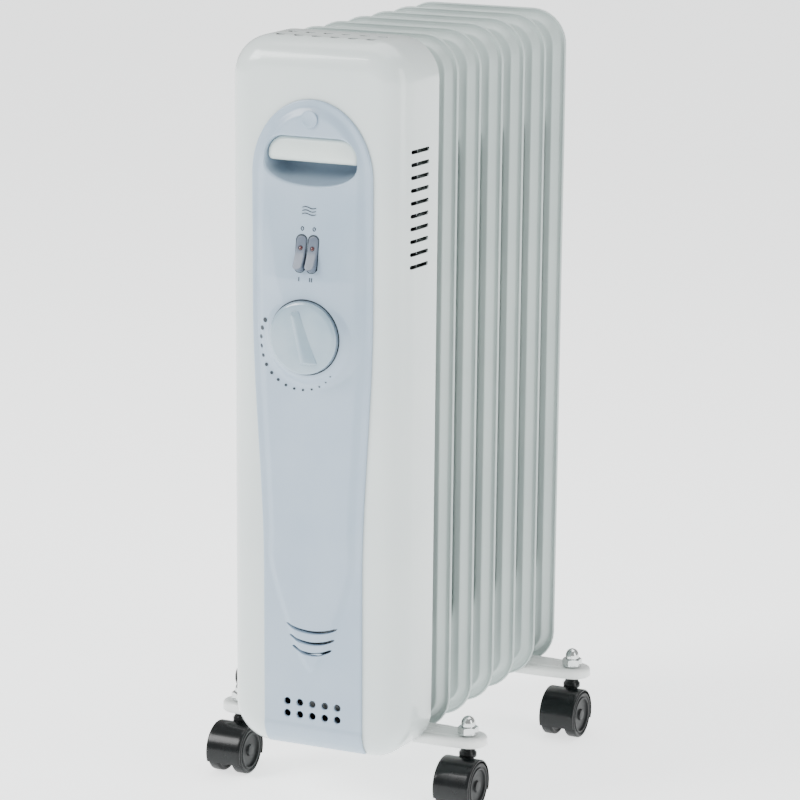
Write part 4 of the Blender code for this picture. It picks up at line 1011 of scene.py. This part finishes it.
def makeCastors():
    for row in ("front", "rear"):
        for side in ("left", "right"):
            name = f"{row}_{side}"
            studLow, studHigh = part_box(f"castor_stud_{name}")
            stud = (studLow + studHigh) / 2
            axle = pivots[f"wheel_{name}_l_spin"]
            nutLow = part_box(f"cap_nut_{name}")[0]
            nut = acornNut(f"acorn_nut_{name}", stud.x, stud.y, nutLow.z)
            hand(nut, acornPlate, rootBody, [f"cap_nut_{name}"], 32)
            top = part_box(f"castor_hood_{name}")[1].z
            hood = hoodMesh(f"hood_moulded_{name}", axle, stud, top)
            hand(hood, castorPlastic, f"castor_{name}", [f"castor_hood_{name}"], 40)
            for word, way in (("l", -1), ("r", 1)):
                inside = axle.x + way * (castor["web"] / 2 + castor["running"])
                wheel = wheelMesh(f"wheel_moulded_{name}_{word}", axle, inside, way)
                hand(wheel, wheelPlastic, f"wheel_{name}_{word}_spin",
                     [f"wheel_{name}_{word}"], 40)


makeBrackets()
makeCastors()
print("stage: feet made")

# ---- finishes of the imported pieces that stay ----
keptFinishes = {
    "castor_stud": zincPlate, "castor_axle": steelPlate, "u_bolt": zincPlate, "wing_nut": zincPlate,
    "heat_shield": galvanised, "heating_element": steelPlate, "element_flange": steelPlate,
    "filler_plug": zincPlate, "thermostat_body": steelPlate, "thermostat_shaft": brassPlate,
    "terminal_block": ceramic, "thermal_cutout": phenolic, "switch_body": darkPlastic,
    "cable_gland": castorPlastic,
}
for name, node in frame["nodes"].items():
    for start, material in keptFinishes.items():
        if name.startswith(start):
            for place in node.material_slots:
                place.material = material
print("stage: packed pieces finished")

# ---- floor, light and camera ----
studio = {"floor": "#f1f2f2", "wall": "#f7f8f8", "size": 16.0, "ambient": 0.6, "glow": 1.8,
          "middle": (0.0, 0.0, 0.33)}


def makeStage():
    size = studio["size"]
    floor = loft("studio_floor", [[(-size, -size, z), (size, -size, z), (size, size, z), (-size, size, z)]
                                  for z in (-20 * mm, 0.0)], "face")
    look = {"name": "painted_floor", "colour": studio["floor"], "second": "#eeefef", "cloud": 900,
            "roughness": 0.65, "ior": 1.45}
    made, tree, shader, where = startMaterial(look)
    clouded(tree, shader, where, look)
    shader.inputs["Emission Color"].default_value = linear(studio["wall"])
    shader.inputs["Emission Strength"].default_value = studio["glow"]
    floor.data.materials.append(made)
    world = bpy.data.worlds.new("studio")
    world.use_nodes = True
    back = world.node_tree.nodes["Background"]
    back.inputs["Color"].default_value = linear(studio["wall"])
    back.inputs["Strength"].default_value = studio["ambient"]
    bpy.context.scene.world = world


def softLight(name, place, size, power):
    lamp = bpy.data.lights.new(name, "AREA")
    lamp.shape = "RECTANGLE"
    lamp.size, lamp.size_y = size
    lamp.energy = power
    made = linked(name, lamp)
    made.location = place
    made.rotation_euler = (Vector(studio["middle"]) - made.location).to_track_quat("-Z", "Y").to_euler()


def makeLights():
    softLight("key_box", (-1.9, -1.9, 2.1), (1.4, 1.4), 95)
    softLight("side_box", (2.3, -0.5, 1.0), (0.9, 1.9), 22)
    softLight("top_box", (0.1, 0.3, 2.4), (2.0, 2.0), 34)


def makeCamera():
    view = {"azimuth": radians(25.256), "elevation": radians(12.32), "roll": radians(0.629),
            "distance": 2.9228, "lens": 160.2, "aim": (0.0266, seamY + 0.05, 0.3263)}
    lens = bpy.data.cameras.new("camera")
    lens.sensor_width = 36.0
    lens.lens = view["lens"]
    camera = linked("camera", lens)
    az, el = view["azimuth"], view["elevation"]
    back = Vector((sin(az) * cos(el), -cos(az) * cos(el), sin(el)))
    right = Vector((cos(az), sin(az), 0.0))
    up = back.cross(right)
    camera.matrix_world = (Matrix.Translation(Vector(view["aim"]) + back * view["distance"])
                           @ Matrix((right, up, back)).transposed().to_4x4()
                           @ Matrix.Rotation(view["roll"], 4, "Z"))
    bpy.context.scene.camera = camera


makeStage()
makeLights()
makeCamera()
print("stage: studio set")
